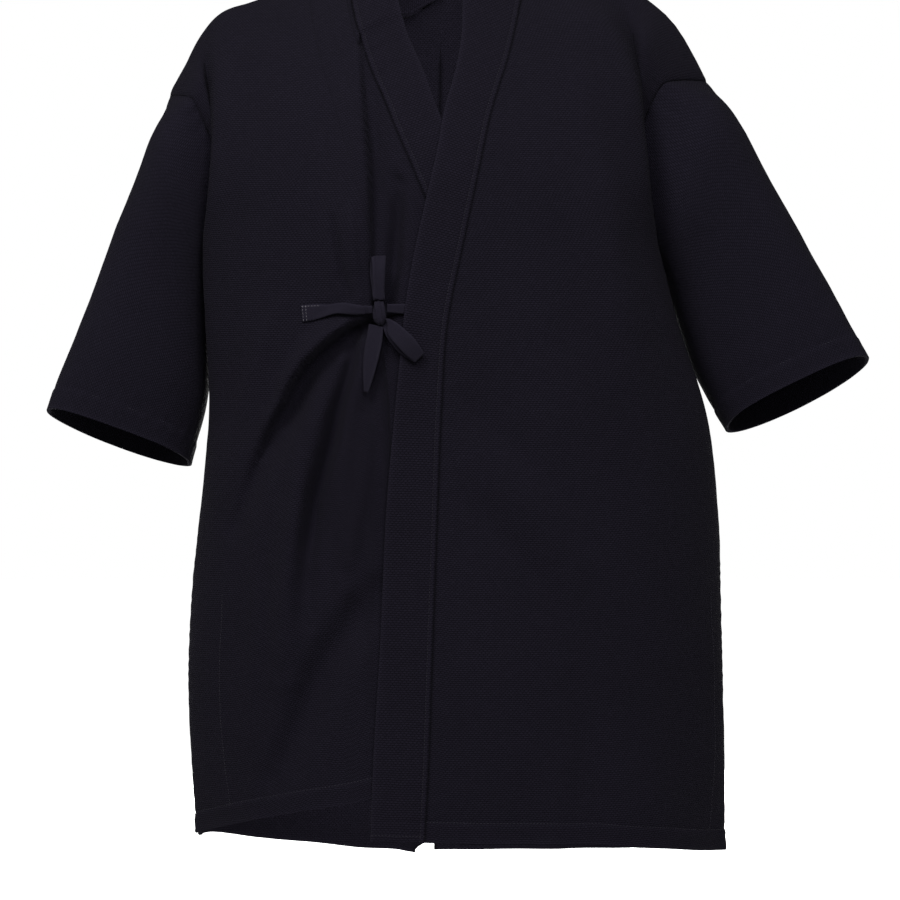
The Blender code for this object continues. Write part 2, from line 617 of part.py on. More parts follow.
def room_at_seam(rows, i, away, first, second, gap=SEAM_GAP):
    """Where a wall of thickness `second` starts, off the edge of one of thickness `first`.

    `rows` pairs each point of the first wall's edge with the one beside it in the wall, and the
    second wall goes `away` from edge point i. Where the two are folded back on each other, the
    second starts beside the first one's edge.
    """
    edge, inside = rows[i]
    seam = (rows[min(i + 1, len(rows) - 1)][0] - rows[max(i - 1, 0)][0]).normalized()
    outward = edge - inside
    outward = (outward - seam * outward.dot(seam)).normalized()
    away = (away - seam * away.dot(seam)).normalized()
    along = outward.dot(away)
    aside = away - outward * along
    across = aside.length
    off = first / 2 + gap + second / 2 * abs(along)
    if along <= 0 and across > 0:
        return aside * (off / across)
    beside = (gap + second / 2 * across) / max(along, LEAST_TURN)
    return away * min(beside, off / max(across, LEAST_TURN), MOST_ROOM)


def armhole_edge(grid):
    """The body's edge round one armhole, each point with the one beside it in the cloth, from the
    shoulder line round the front, under the arm and up the back, and each point's turn."""
    top = sum(ALONG_FRONT)
    under_front = sum(ALONG_FRONT[:-len(FRONT_WAYS) + 1])
    under_back = top + sum(ALONG_BACK[:len(BACK_WAYS) - 1])
    rows = list(range(top, under_front - 1, -1)) + list(range(under_back - 1, top, -1))
    pairs = [(grid[row][-1], grid[row][-2]) for row in rows]
    pairs[top - under_front] = (grid[under_front][-1], grid[under_front - 1][-1])
    turns = [pi * i / (top - under_front) for i in range(top - under_front)]
    turns += [pi + pi * i / (under_back - top) for i in range(under_back - top)]
    return pairs, turns


def outside_trunk(point, trunk, sign):
    """The same point, or one beside the trunk's cloth where it would be in it."""
    far = Vector((sign, point.y, point.z))
    hit, out = trunk.ray_cast(far, Vector((-sign, 0.0, 0.0)))[:2]
    if hit is None:
        return point
    clear = SLEEVE_CLEAR / max(abs(out.x), STEEPEST)
    return Vector((sign * max(sign * point.x, sign * hit.x + clear), point.y, point.z))


def oval(turn):
    """A place on an oval that is round at the back and squarer in front: across and forward."""
    power = 2 / SLEEVE_CORNER if sin(turn) > 0 else 1.0
    return copysign(abs(cos(turn)) ** power, cos(turn)), copysign(abs(sin(turn)) ** power, sin(turn))


def sleeve_rings(side, grid):
    """Rings of one sleeve from the armhole to the cuff, each once round from its outer point."""
    sign = 1 if side == "left" else -1
    trunk = surface_of(grid)
    pairs, turns = armhole_edge(grid)
    rings = []
    for row in SLEEVE_LEFT if side == "left" else SLEEVE_RIGHT:
        outer = Vector((row.outer_x, 0.0, row.outer_z))
        inner = Vector((row.inner_x, row.inner_y, row.inner_z))
        ring = []
        for turn in turns:
            across, deep = oval(turn)
            point = (outer + inner) / 2 + (outer - inner) / 2 * across
            ring.append(point + Vector((0.0, -row.half_depth * deep, row.lift * deep)))
        rings.append([outside_trunk(point, trunk, sign) for point in ring])
    start = []
    for i, (pair, near) in enumerate(zip(pairs, rings[0])):
        start.append(pair[0] + room_at_seam(pairs, i, near - pair[0], CLOTH, CLOTH, SLEEVE_GAP))
    lines = zip(start, *rings)
    made = [list(row) for row in zip(*[spline(list(line), SLEEVE_ALONG) for line in lines])]
    return made[:1] + [[outside_trunk(point, trunk, sign) for point in ring] for ring in made[1:]]


def band_lines(grids):
    """The collar band's seam line and free edge, from the over-front's hem round to the under-front's."""
    seam, free = [], []
    front_steps = sum(ALONG_FRONT)
    back_steps = sum(ALONG_BACK[:2])
    for side in ("left", "right"):
        grid = grids[side]
        pairs = []
        for row in range(front_steps):
            start = grid[row][0]
            height = start.z + read(EDGES, "rise", start.z)
            x = read(EDGES, "over_free" if side == "left" else "under_free", height)
            end = chest_point(x, min(height, NECK_PIT_Z), side)
            end.z = height
            near_neck = ease((start.z - NECK_TURN_Z) / (NECK_PIT_Z - NECK_TURN_Z))
            end.y = mix(end.y - BAND_STAND, start.y - BAND_FORWARD, near_neck)
            pairs.append((grid[row], end))
        for step in range(back_steps + 1):
            at = step / back_steps / 2
            end = round_neck(at if side == "left" else 1 - at, "free_x free_y free_z")
            pairs.append((grid[front_steps + step], end))
        if side == "right":
            pairs = pairs[-2::-1]
        edges = [row[:2] for row, _ in pairs]
        for i, (row, end) in enumerate(pairs):
            gap = mix(SEAM_GAP, NECK_GAP, ease(row[0].y / NECK_GAP_Y))
            seam.append(row[0] + room_at_seam(edges, i, end - row[0], CLOTH, BAND_CLOTH, gap))
            free.append(end)
    return seam, free


def on_front(x, z, front):
    """A point of the wearer's right front and the way out of its cloth."""
    far = Vector((x, -1.0, z))
    point = front.ray_cast(far, Vector((0.0, 1.0, 0.0)))[0]
    right = chest_point(x + NEARBY, z, "right") - chest_point(x - NEARBY, z, "right")
    up = chest_point(x, z + NEARBY, "right") - chest_point(x, z - NEARBY, "right")
    return point, right.cross(up).normalized()


def tape_grid(rows, front):
    """A tape over the wearer's right front: points across it, for each step along it."""
    counts = (TAPE_ALONG,) * (len(rows) - 1)
    middle = spline([Vector((row.x, row.lift, row.z)) for row in rows], counts)
    grid = []
    for i, place in enumerate(middle):
        at = i / TAPE_ALONG
        width = curve_at(range(len(rows)), [row.width for row in rows], at)
        roll = radians(curve_at(range(len(rows)), [row.roll for row in rows], at))
        ahead = middle[i] - middle[0] if i else middle[1] - middle[0]
        aside = Vector((ahead.z, 0.0, -ahead.x)).normalized()
        line = []
        for step in range(TAPE_ACROSS + 1):
            off = width * (step / TAPE_ACROSS - 0.5)
            x = place.x + aside.x * off * cos(roll)
            z = place.z + aside.z * off * cos(roll)
            point, out = on_front(x, z, front)
            stand = CLOTH / 2 + SEAM_GAP + TAPE_CLOTH / 2 + place.y + off * sin(roll)
            line.append(point + out * stand)
        grid.append(line)
    return grid


def knot_grid(front):
    """The bow's knot: rings round it from one end to the other."""
    point, out = on_front(*KNOT, front)
    centre = point + out * KNOT_LIFT
    round_it, along = KNOT_STEPS
    grid = []
    for i in range(1, along):
        lean = pi * i / along
        ring = []
        for j in range(round_it):
            turn = 2 * pi * j / round_it
            way = Vector((cos(turn) * sin(lean), sin(turn) * sin(lean), cos(lean)))
            size = sum(abs(part) ** KNOT_CORNER for part in way) ** (-1 / KNOT_CORNER)
            ring.append(centre + Vector([part * size * radius for part, radius in zip(way, KNOT_RADII)]))
        grid.append(ring)
    return grid


def grid_faces(rows, columns, closed):
    """Triangles between the points of a grid, split along the same diagonal everywhere."""
    faces = []
    for i in range(rows - 1):
        for j in range(columns if closed else columns - 1):
            k = (j + 1) % columns
            a, b, c, d = (i * columns + j, i * columns + k, (i + 1) * columns + k, (i + 1) * columns + j)
            faces += [(a, b, c), (a, c, d)]
    return faces


def surface_of(grid):
    """The surface through a grid, for finding where a line meets it."""
    points = [point for row in grid for point in row]
    return BVHTree.FromPolygons(points, grid_faces(len(grid), len(grid[0]), False))


def mesh_object(name, points, faces, collection):
    mesh = bpy.data.meshes.new(name)
    mesh.from_pydata([tuple(point) for point in points], [], faces)
    mesh.validate()
    mesh.shade_smooth()
    made = bpy.data.objects.new(name, mesh)
    collection.objects.link(made)
    made.data.materials.append(cloth_material(name))
    return made


def cloth_wall(name, grid, thickness, collection, closed=False):
    """A wall of cloth on a grid of points; `closed` joins each row's end to its start."""
    points = [point for row in grid for point in row]
    made = mesh_object(name, points, grid_faces(len(grid), len(grid[0]), closed), collection)
    wall = made.modifiers.new("wall", "SOLIDIFY")
    wall.thickness = thickness
    wall.offset = 0.0
    wall.use_rim = True
    return made


def lump(name, grid, collection):
    """A solid through rings of points, closed over both ends."""
    count = len(grid[0])
    points = [point for ring in grid for point in ring]
    faces = [tuple(reversed(face)) for face in grid_faces(len(grid), count, True)]
    first = sum(grid[0], Vector()) / count
    last = sum(grid[-1], Vector()) / count
    points += [first, last]
    end = (len(grid) - 1) * count
    for j in range(count):
        k = (j + 1) % count
        faces += [(len(points) - 2, j, k), (len(points) - 1, end + k, end + j)]
    return mesh_object(name, points, faces, collection)


def cloth_material(name, shade=1.0, roughness=0.92):
    """Dark indigo cotton."""
    material = bpy.data.materials.new(name)
    material.use_nodes = True
    shader = material.node_tree.nodes["Principled BSDF"]
    shader.inputs["Base Color"].default_value = (*[part * shade for part in INDIGO], 1.0)
    shader.inputs["Roughness"].default_value = roughness
    shader.inputs["Metallic"].default_value = 0.0
    return material


def clear_scene():
    for item in list(bpy.data.objects):
        bpy.data.objects.remove(item, do_unlink=True)


def main():
    clear_scene()
    collection = bpy.data.collections.new(COLLECTION)
    bpy.context.scene.collection.children.link(collection)
    grids = {side: body_grid(side) for side in ("left", "right")}
    for side, grid in grids.items():
        cloth_wall(f"body_{side}", grid, CLOTH, collection)
        cloth_wall(f"sleeve_{side}", sleeve_rings(side, grid), CLOTH, collection, closed=True)
    seam, free = band_lines(grids)
    band = [
        [start.lerp(end, step / BAND_ACROSS) for step in range(BAND_ACROSS + 1)]
        for start, end in zip(seam, free)
    ]
    cloth_wall("collar_band", band, BAND_CLOTH, collection)
    front = surface_of(grids["right"][:sum(ALONG_FRONT) + 1])
    for name, rows in TAPES.items():
        cloth_wall(name, tape_grid(rows, front), TAPE_CLOTH, collection)
    lump("bow_knot", knot_grid(front), collection)


main()
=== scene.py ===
"""Kendo jacket of thick dark indigo cotton, filled out as if worn, with no wearer inside.

Metres, +Z up, front towards -Y, the wearer's left towards +X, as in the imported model. The panels
are cut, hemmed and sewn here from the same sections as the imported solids, in finer steps.
"""

import logging
from bisect import bisect_right
from collections.abc import Iterable, Sequence
from dataclasses import dataclass, field
from enum import Enum
from math import copysign, cos, pi, radians, sin
from typing import NamedTuple

import bpy
import numpy as np
from bpy.types import Material, Node, NodeSocket, NodeTree, Object
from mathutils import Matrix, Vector, noise
from mathutils.bvhtree import BVHTree


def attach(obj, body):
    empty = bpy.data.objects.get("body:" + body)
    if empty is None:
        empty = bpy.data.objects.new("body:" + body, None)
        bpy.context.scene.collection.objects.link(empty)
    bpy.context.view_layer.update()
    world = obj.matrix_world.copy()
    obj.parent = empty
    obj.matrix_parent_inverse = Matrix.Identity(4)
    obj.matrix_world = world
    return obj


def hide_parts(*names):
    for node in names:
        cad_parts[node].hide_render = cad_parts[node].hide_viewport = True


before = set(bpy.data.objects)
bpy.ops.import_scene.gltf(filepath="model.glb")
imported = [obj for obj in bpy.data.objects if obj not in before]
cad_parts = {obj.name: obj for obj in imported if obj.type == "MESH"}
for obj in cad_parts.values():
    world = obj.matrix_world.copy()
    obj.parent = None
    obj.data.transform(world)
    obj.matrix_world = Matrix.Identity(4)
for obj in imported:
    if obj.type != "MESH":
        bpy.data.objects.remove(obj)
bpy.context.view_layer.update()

LOG = logging.getLogger("kendo_jacket")
BODY = "root"


class Side(Enum):
    """The wearer's two sides."""

    LEFT = "left"
    RIGHT = "right"

    @property
    def sign(self) -> int:
        """Which way along X this side lies."""
        return 1 if self is Side.LEFT else -1


class Face(Enum):
    """The two faces of the trunk."""

    FRONT = "front"
    BACK = "back"


class Ring(NamedTuple):
    """A level ring of the trunk: half widths, depths, the armpit fold, the tuck and the squareness."""

    z: float
    right: float
    left: float
    front: float
    back: float
    fold_y: float
    tuck: float
    corner: float


class Rise(NamedTuple):
    """A slanted section over chest and shoulder: how far up, and how much depth is left."""

    way: float
    up: float
    front: float
    back: float


class Fold(NamedTuple):
    """Where the fold beside the armpit runs, and how deep the valley behind it is."""

    way: float
    right: float
    right_deep: float
    left: float
    left_deep: float
    back_right: float
    back_left: float
    back_deep: float


class Place(NamedTuple):
    """A place as seen from in front."""

    x: float
    z: float


class Armhole(NamedTuple):
    """How far the armhole seam bows forward and back, and how far its front is drawn in and up."""

    way: float
    front: float
    back: float
    right_in: float
    right_up: float
    left_in: float
    left_up: float


class Cuff(NamedTuple):
    """An oval section of a sleeve."""

    outer_x: float
    outer_z: float
    inner_x: float
    inner_y: float
    inner_z: float
    half_depth: float
    lift: float


class Edge(NamedTuple):
    """Both fronts' edges under the collar band, and the band's free edge."""

    z: float
    over_seam: float
    over_free: float
    under_seam: float
    under_free: float
    rise: float


class Neck(NamedTuple):
    """The neckline seam and the collar's free edge above it."""

    x: float
    y: float
    z: float
    free_x: float
    free_y: float
    free_z: float


class Crease(NamedTuple):
    """A fold that runs through a few places, with its height and its half widths to both sides.

    A sharp fold falls from its crest within `drop` to a hollow, which then fades out towards the
    far side. `spread` is how much wider the fold is at its path's end.
    """

    height: float
    near: float
    far: float
    path: tuple[tuple[float, float], ...]
    drop: float = 0.0
    hollow: float = 0.0
    spread: float = 1.0


class Section(NamedTuple):
    """A section of the body: level at a height, slanted above the underarm, or part way to the hem."""

    z: float | None = None
    way: float | None = None
    hem_part: float = 0.0


class Tape(NamedTuple):
    """The middle of a tape: its place, its lift off the cloth, its width and its roll in degrees."""

    x: float
    z: float
    lift: float
    width: float
    roll: float


UNDERARM_Z = -0.270
SLIT_TOP_Z = -0.617
VENT_TOP_Z = -0.690
VENT_HALF = 0.0095
HEM_Z = -0.860
SEAM_Y = 0.018
FRONT_WAYS = (0.0, 0.2, 0.4, 0.6, 0.8, 1.0)
BACK_WAYS = (1.0, 0.9, 0.8, 0.6, 0.4, 0.2, 0.0)
NECK_WAY = 0.8
RING_LEVELS = (UNDERARM_Z, -0.350, -0.430, -0.520, SLIT_TOP_Z)
HEM_STEPS = (0.34, 0.68, 1.0)
CHEST_GUIDES = (0.0, 0.25, 0.5, 0.78)
FACINGS = {Side.RIGHT: 0.070, Side.LEFT: 0.038}
COLUMNS = {Side.RIGHT: (26, 24, 18), Side.LEFT: (16, 16, 14)}
FRONT_ROWS = {
    Side.RIGHT: (16, 16, 24, 36, 36, 26, 16, 16, 16, 18, 16),
    Side.LEFT: (18, 18, 22, 20, 20, 20, 16, 16, 16, 18, 16),
}
BACK_ROWS = (8, 8, 12, 12, 12, 12, 13, 13, 14, 15, 13, 13)
EDGE_STEPS = (0.016, 0.034, 0.06, 0.10, 0.15)
SEAM_STEPS = (0.2, 0.4, 0.58, 0.72, 0.82, 0.90, 0.96, 1.0)
HEM_TURN_STEPS = (0.013, 0.032, 0.065, 0.117, 0.17, 0.215, 0.24, 0.26, 0.28, 0.305, 0.35)
CUFF_TURN_STEPS = (0.01, 0.025, 0.05, 0.09, 0.14, 0.165, 0.18, 0.195, 0.21, 0.235)
BAND_STEPS = (
    0.0, 0.02, 0.045, 0.075, 0.10, 0.125, 0.16, 0.24, 0.34, 0.45, 0.56, 0.67, 0.78, 0.87, 0.93, 0.96,
    0.98, 0.99, 1.0,
)
VALLEY_PLACE = 0.36
CAP_PLACE = 0.68
FOLD_ENDS = (0.06, 0.94)
SHARP_FADE = 0.65
STITCH_LIFT = 0.55
TAPE_STITCH_LIFT = 0.5
TINY = 1e-12

RINGS = (
    Ring(-0.270, -0.2300, 0.2085, 0.122, 0.120, -0.048, 0.018, 2.3),
    Ring(-0.350, -0.2270, 0.2295, 0.121, 0.112, -0.044, 0.013, 2.3),
    Ring(-0.430, -0.2246, 0.2560, 0.117, 0.103, -0.032, 0.009, 2.2),
    Ring(-0.520, -0.2316, 0.2676, 0.115, 0.102, -0.020, 0.002, 2.1),
    Ring(-0.617, -0.2422, 0.2720, 0.117, 0.110, -0.014, 0.001, 2.0),
    Ring(-0.700, -0.2460, 0.2745, 0.121, 0.116, -0.014, 0.001, 1.9),
    Ring(-0.784, -0.2420, 0.2756, 0.126, 0.121, -0.014, 0.001, 1.9),
    Ring(-0.870, -0.2365, 0.2768, 0.131, 0.125, -0.014, 0.001, 1.9),
)
RISES = (
    Rise(0.0, 0.00, 1.000, 1.000),
    Rise(0.2, 0.23, 0.985, 1.010),
    Rise(0.4, 0.45, 0.890, 0.960),
    Rise(0.6, 0.66, 0.715, 0.820),
    Rise(0.8, 0.85, 0.430, 0.540),
    Rise(0.9, 0.93, 0.250, 0.310),
    Rise(1.0, 1.00, 0.000, 0.000),
)
FOLDS = (
    Fold(0.0, -0.2300, 0.004, 0.2085, 0.004, -0.2065, 0.1910, 0.000),
    Fold(0.2, -0.2235, 0.006, 0.2005, 0.002, -0.2060, 0.1885, 0.000),
    Fold(0.4, -0.2200, 0.009, 0.1945, 0.003, -0.2060, 0.1860, 0.002),
    Fold(0.6, -0.2190, 0.012, 0.1860, 0.008, -0.2075, 0.1840, 0.006),
    Fold(0.8, -0.2190, 0.012, 0.1600, 0.016, -0.2120, 0.1740, 0.006),
    Fold(0.9, -0.2175, 0.006, 0.1440, 0.010, -0.2170, 0.1560, 0.003),
    Fold(1.0, -0.2150, 0.000, 0.1320, 0.000, -0.2150, 0.1320, 0.000),
)
SHOULDERS = {
    Side.RIGHT: (
        Place(-0.089, 0.0), Place(-0.180, -0.0309), Place(-0.2117, -0.0412),
        Place(-0.2243, -0.0490), Place(-0.2460, -0.0882), Place(-0.2656, -0.1240),
    ),
    Side.LEFT: (
        Place(0.083, 0.0), Place(0.2048, -0.0319), Place(0.2195, -0.0458),
        Place(0.2342, -0.0638), Place(0.2440, -0.0798), Place(0.2600, -0.1100),
    ),
}
ARMHOLE = (
    Armhole(0.00, 0.000, 0.000, 0.000, 0.000, 0.000, 0.000),
    Armhole(0.25, 0.032, 0.025, 0.005, 0.013, 0.011, 0.012),
    Armhole(0.50, 0.046, 0.044, 0.019, 0.012, 0.034, 0.020),
    Armhole(0.75, 0.047, 0.038, 0.021, 0.010, 0.042, 0.012),
    Armhole(0.90, 0.038, 0.018, 0.012, 0.002, 0.023, 0.003),
    Armhole(1.00, 0.000, 0.000, 0.000, 0.000, 0.000, 0.000),
)
UNDERARM_X = {Side.RIGHT: -0.2092, Side.LEFT: 0.1955}
SLEEVES = {
    Side.RIGHT: (
        Cuff(-0.2700, -0.1435, -0.2245, 0.022, -0.2880, 0.064, 0.004),
        Cuff(-0.3015, -0.2170, -0.2270, 0.026, -0.3430, 0.060, 0.004),
        Cuff(-0.3440, -0.3270, -0.2300, 0.024, -0.4170, 0.052, 0.005),
        Cuff(-0.3850, -0.4335, -0.2475, 0.020, -0.4840, 0.043, 0.0105),
    ),
    Side.LEFT: (
        Cuff(0.2715, -0.1265, 0.2125, 0.022, -0.2860, 0.064, 0.006),
        Cuff(0.3150, -0.1965, 0.2290, 0.028, -0.3300, 0.060, 0.008),
        Cuff(0.3725, -0.3020, 0.2520, 0.026, -0.3950, 0.052, 0.012),
        Cuff(0.4175, -0.3840, 0.2815, 0.020, -0.4490, 0.043, 0.015),
    ),
}
EDGES = (
    Edge(0.020, 0.0830, 0.0430, -0.0890, -0.0560, 0.030),
    Edge(0.000, 0.0830, 0.0300, -0.0890, -0.0490, 0.030),
    Edge(-0.034, 0.0776, 0.0213, -0.0863, -0.0414, 0.022),
    Edge(-0.070, 0.0696, 0.0199, -0.0806, -0.0315, 0.018),
    Edge(-0.106, 0.0616, 0.0140, -0.0650, -0.0165, 0.017),
    Edge(-0.145, 0.0490, 0.0035, -0.0503, -0.0025, 0.016),
    Edge(-0.184, 0.0403, -0.0034, -0.0345, 0.0130, 0.014),
    Edge(-0.232, 0.0307, -0.0142, -0.0130, 0.0330, 0.012),
    Edge(-0.280, 0.0202, -0.0248, 0.0050, 0.0510, 0.010),
    Edge(-0.330, 0.0092, -0.0334, 0.0190, 0.0660, 0.008),
    Edge(-0.394, 0.0031, -0.0398, 0.0330, 0.0810, 0.004),
    Edge(-0.451, -0.0002, -0.0455, 0.0390, 0.0880, 0.002),
    Edge(-0.518, -0.0026, -0.0512, 0.0435, 0.0935, 0.001),
    Edge(-0.651, -0.0074, -0.0575, 0.0490, 0.1000, 0.001),
    Edge(-0.785, -0.0121, -0.0650, 0.0540, 0.1060, 0.001),
    Edge(-0.860, -0.0159, -0.0671, 0.0560, 0.1080, 0.001),
)
HEM_FRONT = {
    Side.LEFT: (
        Place(-0.070, -0.8405), Place(0.0, -0.8437), Place(0.150, -0.8470),
        Place(0.240, -0.8560), Place(0.279, -0.8604),
    ),
    Side.RIGHT: (
        Place(-0.240, -0.8440), Place(-0.218, -0.8340), Place(-0.172, -0.8243),
        Place(-0.130, -0.8182), Place(-0.091, -0.8084), Place(-0.066, -0.8017), Place(0.108, -0.7700),
    ),
}
HEM_BACK = (
    Place(-0.240, -0.8486), Place(-0.137, -0.8634), Place(-0.028, -0.8730),
    Place(0.150, -0.8710), Place(0.279, -0.8630),
)
CENTRE_BACK = (
    Place(0.0, -0.018), Place(-0.003, -0.270), Place(-0.010, -0.617), Place(-0.0167, -0.873),
)
NECK = (
    Neck(0.083, 0.000, 0.000, 0.0640, -0.0100, 0.0400),
    Neck(0.069, 0.036, -0.006, 0.0600, 0.0290, 0.0390),
    Neck(0.036, 0.062, -0.012, 0.0320, 0.0530, 0.0330),
    Neck(0.000, 0.071, -0.018, 0.0000, 0.0610, 0.0270),
    Neck(-0.037, 0.062, -0.041, -0.0350, 0.0520, 0.0160),
    Neck(-0.069, 0.038, -0.024, -0.0610, 0.0290, 0.0290),
    Neck(-0.089, 0.000, 0.000, -0.0700, -0.0100, 0.0400),
)
CREASES_FRONT = {
    Side.RIGHT: (
        Crease(0.007, 0.05, 0.013, (
            (-0.073, -0.1), (-0.074, -0.18), (-0.076, -0.26), (-0.074, -0.315))),
        Crease(0.0075, 0.016, 0.018, (
            (-0.069, -0.33), (-0.1, -0.348), (-0.125, -0.372), (-0.145, -0.405), (-0.16, -0.452))),
        Crease(-0.009, 0.022, 0.024, (
            (-0.095, -0.372), (-0.126, -0.415), (-0.16, -0.46), (-0.2, -0.535))),
        Crease(0.007, 0.022, 0.02, (
            (-0.095, -0.358), (-0.114, -0.42), (-0.136, -0.5), (-0.149, -0.58), (-0.15, -0.69))),
        Crease(-0.0065, 0.018, 0.022, (
            (-0.084, -0.352), (-0.098, -0.405), (-0.12, -0.49), (-0.127, -0.6))),
        Crease(0.0055, 0.02, 0.018, (
            (-0.072, -0.365), (-0.086, -0.43), (-0.093, -0.53), (-0.088, -0.6))),
        Crease(-0.006, 0.026, 0.026, (
            (-0.06, -0.605), (-0.085, -0.64), (-0.118, -0.69), (-0.138, -0.745), (-0.158, -0.785))),
    ),
    Side.LEFT: (
        Crease(-0.003, 0.035, 0.035, ((0.02, -0.4), (0.055, -0.44), (0.105, -0.495))),
        Crease(0.004, 0.035, 0.035, ((0.04, -0.48), (0.085, -0.53), (0.125, -0.58))),
        Crease(0.005, 0.045, 0.045, ((0.15, -0.23), (0.18, -0.3), (0.19, -0.38))),
    ),
}
CREASES_BACK = (
    Crease(0.0055, 0.03, 0.03, ((-0.165, -0.18), (-0.14, -0.3), (-0.12, -0.44))),
    Crease(0.006, 0.03, 0.03, ((0.16, -0.18), (0.13, -0.31), (0.115, -0.47))),
    Crease(0.005, 0.028, 0.028, ((-0.09, -0.48), (-0.105, -0.62), (-0.11, -0.78))),
    Crease(0.005, 0.028, 0.028, ((0.12, -0.5), (0.11, -0.64), (0.12, -0.8))),
)
SMALL_CREASES = {
    Side.RIGHT: (
        Crease(0.0012, 0.006, 0.032, (
            (-0.079, -0.085), (-0.077, -0.1336), (-0.0708, -0.2052), (-0.068, -0.271),
            (-0.068, -0.3244)), drop=0.004, hollow=0.014),
        Crease(-0.005, 0.006, 0.007, (
            (-0.103, -0.25), (-0.0985, -0.275), (-0.0923, -0.3073), (-0.0876, -0.3273))),
        Crease(-0.015, 0.015, 0.009, (
            (-0.0385, -0.215), (-0.0405, -0.26), (-0.043, -0.295), (-0.047, -0.335))),
        Crease(0.003, 0.007, 0.007, ((-0.086, -0.245), (-0.084, -0.275), (-0.079, -0.323))),
        Crease(0.0075, 0.008, 0.026, (
            (-0.064, -0.339), (-0.0675, -0.3398), (-0.0876, -0.3484), (-0.1114, -0.365),
            (-0.1324, -0.3848), (-0.1448, -0.4027), (-0.1534, -0.4227), (-0.1658, -0.4437),
            (-0.182, -0.4799), (-0.203, -0.5372)), drop=0.006, hollow=0.019, spread=1.4),
        Crease(0.005, 0.009, 0.008, (
            (-0.0895, -0.355), (-0.0971, -0.396), (-0.1085, -0.4322), (-0.1209, -0.4799),
            (-0.1353, -0.5391), (-0.1477, -0.6049), (-0.1505, -0.665)), spread=2.2),
        Crease(-0.011, 0.012, 0.0055, (
            (-0.0765, -0.354), (-0.083, -0.39), (-0.0955, -0.428), (-0.1035, -0.4675),
            (-0.1185, -0.5152), (-0.125, -0.5629), (-0.126, -0.623)), spread=2.2),
        Crease(-0.0042, 0.004, 0.006, (
            (-0.0545, -0.35), (-0.059, -0.375), (-0.064, -0.395), (-0.0695, -0.415))),
        Crease(0.004, 0.012, 0.012, ((-0.0704, -0.4437), (-0.0761, -0.5152), (-0.0866, -0.5753))),
        Crease(-0.0068, 0.026, 0.034, (
            (-0.058, -0.6049), (-0.0818, -0.6288), (-0.1085, -0.665), (-0.1181, -0.6946),
            (-0.1295, -0.7299), (-0.1477, -0.7719), (-0.1562, -0.7814))),
        Crease(0.002, 0.014, 0.014, ((-0.15, -0.33), (-0.175, -0.372), (-0.19, -0.43))),
        Crease(-0.0022, 0.014, 0.014, ((-0.176, -0.3), (-0.2, -0.36), (-0.208, -0.44))),
        Crease(0.002, 0.014, 0.014, ((-0.18, -0.54), (-0.176, -0.64), (-0.186, -0.74))),
    ),
    Side.LEFT: (
        Crease(-0.0018, 0.012, 0.02, ((0.006, -0.405), (0.046, -0.45), (0.1, -0.5))),
        Crease(-0.002, 0.012, 0.02, ((0.018, -0.516), (0.074, -0.572), (0.122, -0.63))),
        Crease(0.0016, 0.018, 0.018, ((0.1, -0.64), (0.12, -0.74), (0.11, -0.83))),
        Crease(-0.0022, 0.03, 0.034, ((0.125, -0.7), (0.145, -0.765), (0.14, -0.835))),
        Crease(0.0018, 0.02, 0.022, ((0.13, -0.1), (0.15, -0.18), (0.175, -0.25))),
    ),
}
TAPES = {
    "tie_right": (
        Tape(-0.1322, -0.3402, 0.0003, 0.016, 0), Tape(-0.117, -0.339, 0.001, 0.015, 0),
        Tape(-0.099, -0.3374, 0.0036, 0.0108, 0), Tape(-0.08, -0.336, 0.006, 0.0064, 0),
        Tape(-0.0656, -0.3354, 0.0068, 0.0058, 0),
    ),
    "tie_left": (
        Tape(-0.0235, -0.3364, 0.0012, 0.0098, 0), Tape(-0.033, -0.3362, 0.0018, 0.0096, 0),
        Tape(-0.043, -0.3358, 0.004, 0.0088, 0), Tape(-0.0508, -0.3354, 0.006, 0.0078, 0),
    ),
    "bow_loop_up": (
        Tape(-0.059, -0.3283, 0.0046, 0.0112, 0), Tape(-0.06, -0.313, 0.004, 0.0146, 0),
        Tape(-0.0606, -0.297, 0.0046, 0.0172, 0), Tape(-0.0607, -0.2868, 0.0085, 0.018, 0),
        Tape(-0.0606, -0.297, 0.0124, 0.0172, 0), Tape(-0.06, -0.313, 0.0126, 0.0146, 0),
        Tape(-0.059, -0.3283, 0.01, 0.0112, 0),
    ),
    "bow_loop_down": (
        Tape(-0.0512, -0.35, 0.0066, 0.009, 0), Tape(-0.0452, -0.3582, 0.0088, 0.014, 0),
        Tape(-0.033, -0.3716, 0.0092, 0.0165, 0), Tape(-0.0202, -0.3818, 0.0128, 0.0125, 0),
        Tape(-0.03, -0.37, 0.0168, 0.0165, 0), Tape(-0.043, -0.3566, 0.0158, 0.0145, 0),
        Tape(-0.0498, -0.3494, 0.0114, 0.009, 0),
    ),
    "bow_tail": (
        Tape(-0.0604, -0.3519, 0.0066, 0.0135, -10), Tape(-0.064, -0.372, 0.007, 0.0155, -24),
        Tape(-0.0684, -0.393, 0.0064, 0.012, -26), Tape(-0.0728, -0.4144, 0.0056, 0.0044, -20),
    ),
}


def smooth_slopes(places: Sequence[float], values: Sequence[float]) -> list[float]:
    """Slopes that keep a curve through the values from overshooting them.

    Args:
        places: Where the values stand, in rising order.
        values: One value for each place.

    Returns:
        The slope at each place.
    """
    steps = [b - a for a, b in zip(places, places[1:])]
    rates = [(b - a) / step for a, b, step in zip(values, values[1:], steps)]
    slopes = [rates[0]]
    for before, after, a, b in zip(rates, rates[1:], steps, steps[1:]):
        slopes.append(0.0 if before * after <= 0 else (before * b + after * a) / (a + b))
    slopes.append(rates[-1])
    steepest = [3 * min(abs(a), abs(b)) for a, b in zip(rates[:1] + rates, rates + rates[-1:])]
    return [max(-most, min(most, slope)) for slope, most in zip(slopes, steepest)]


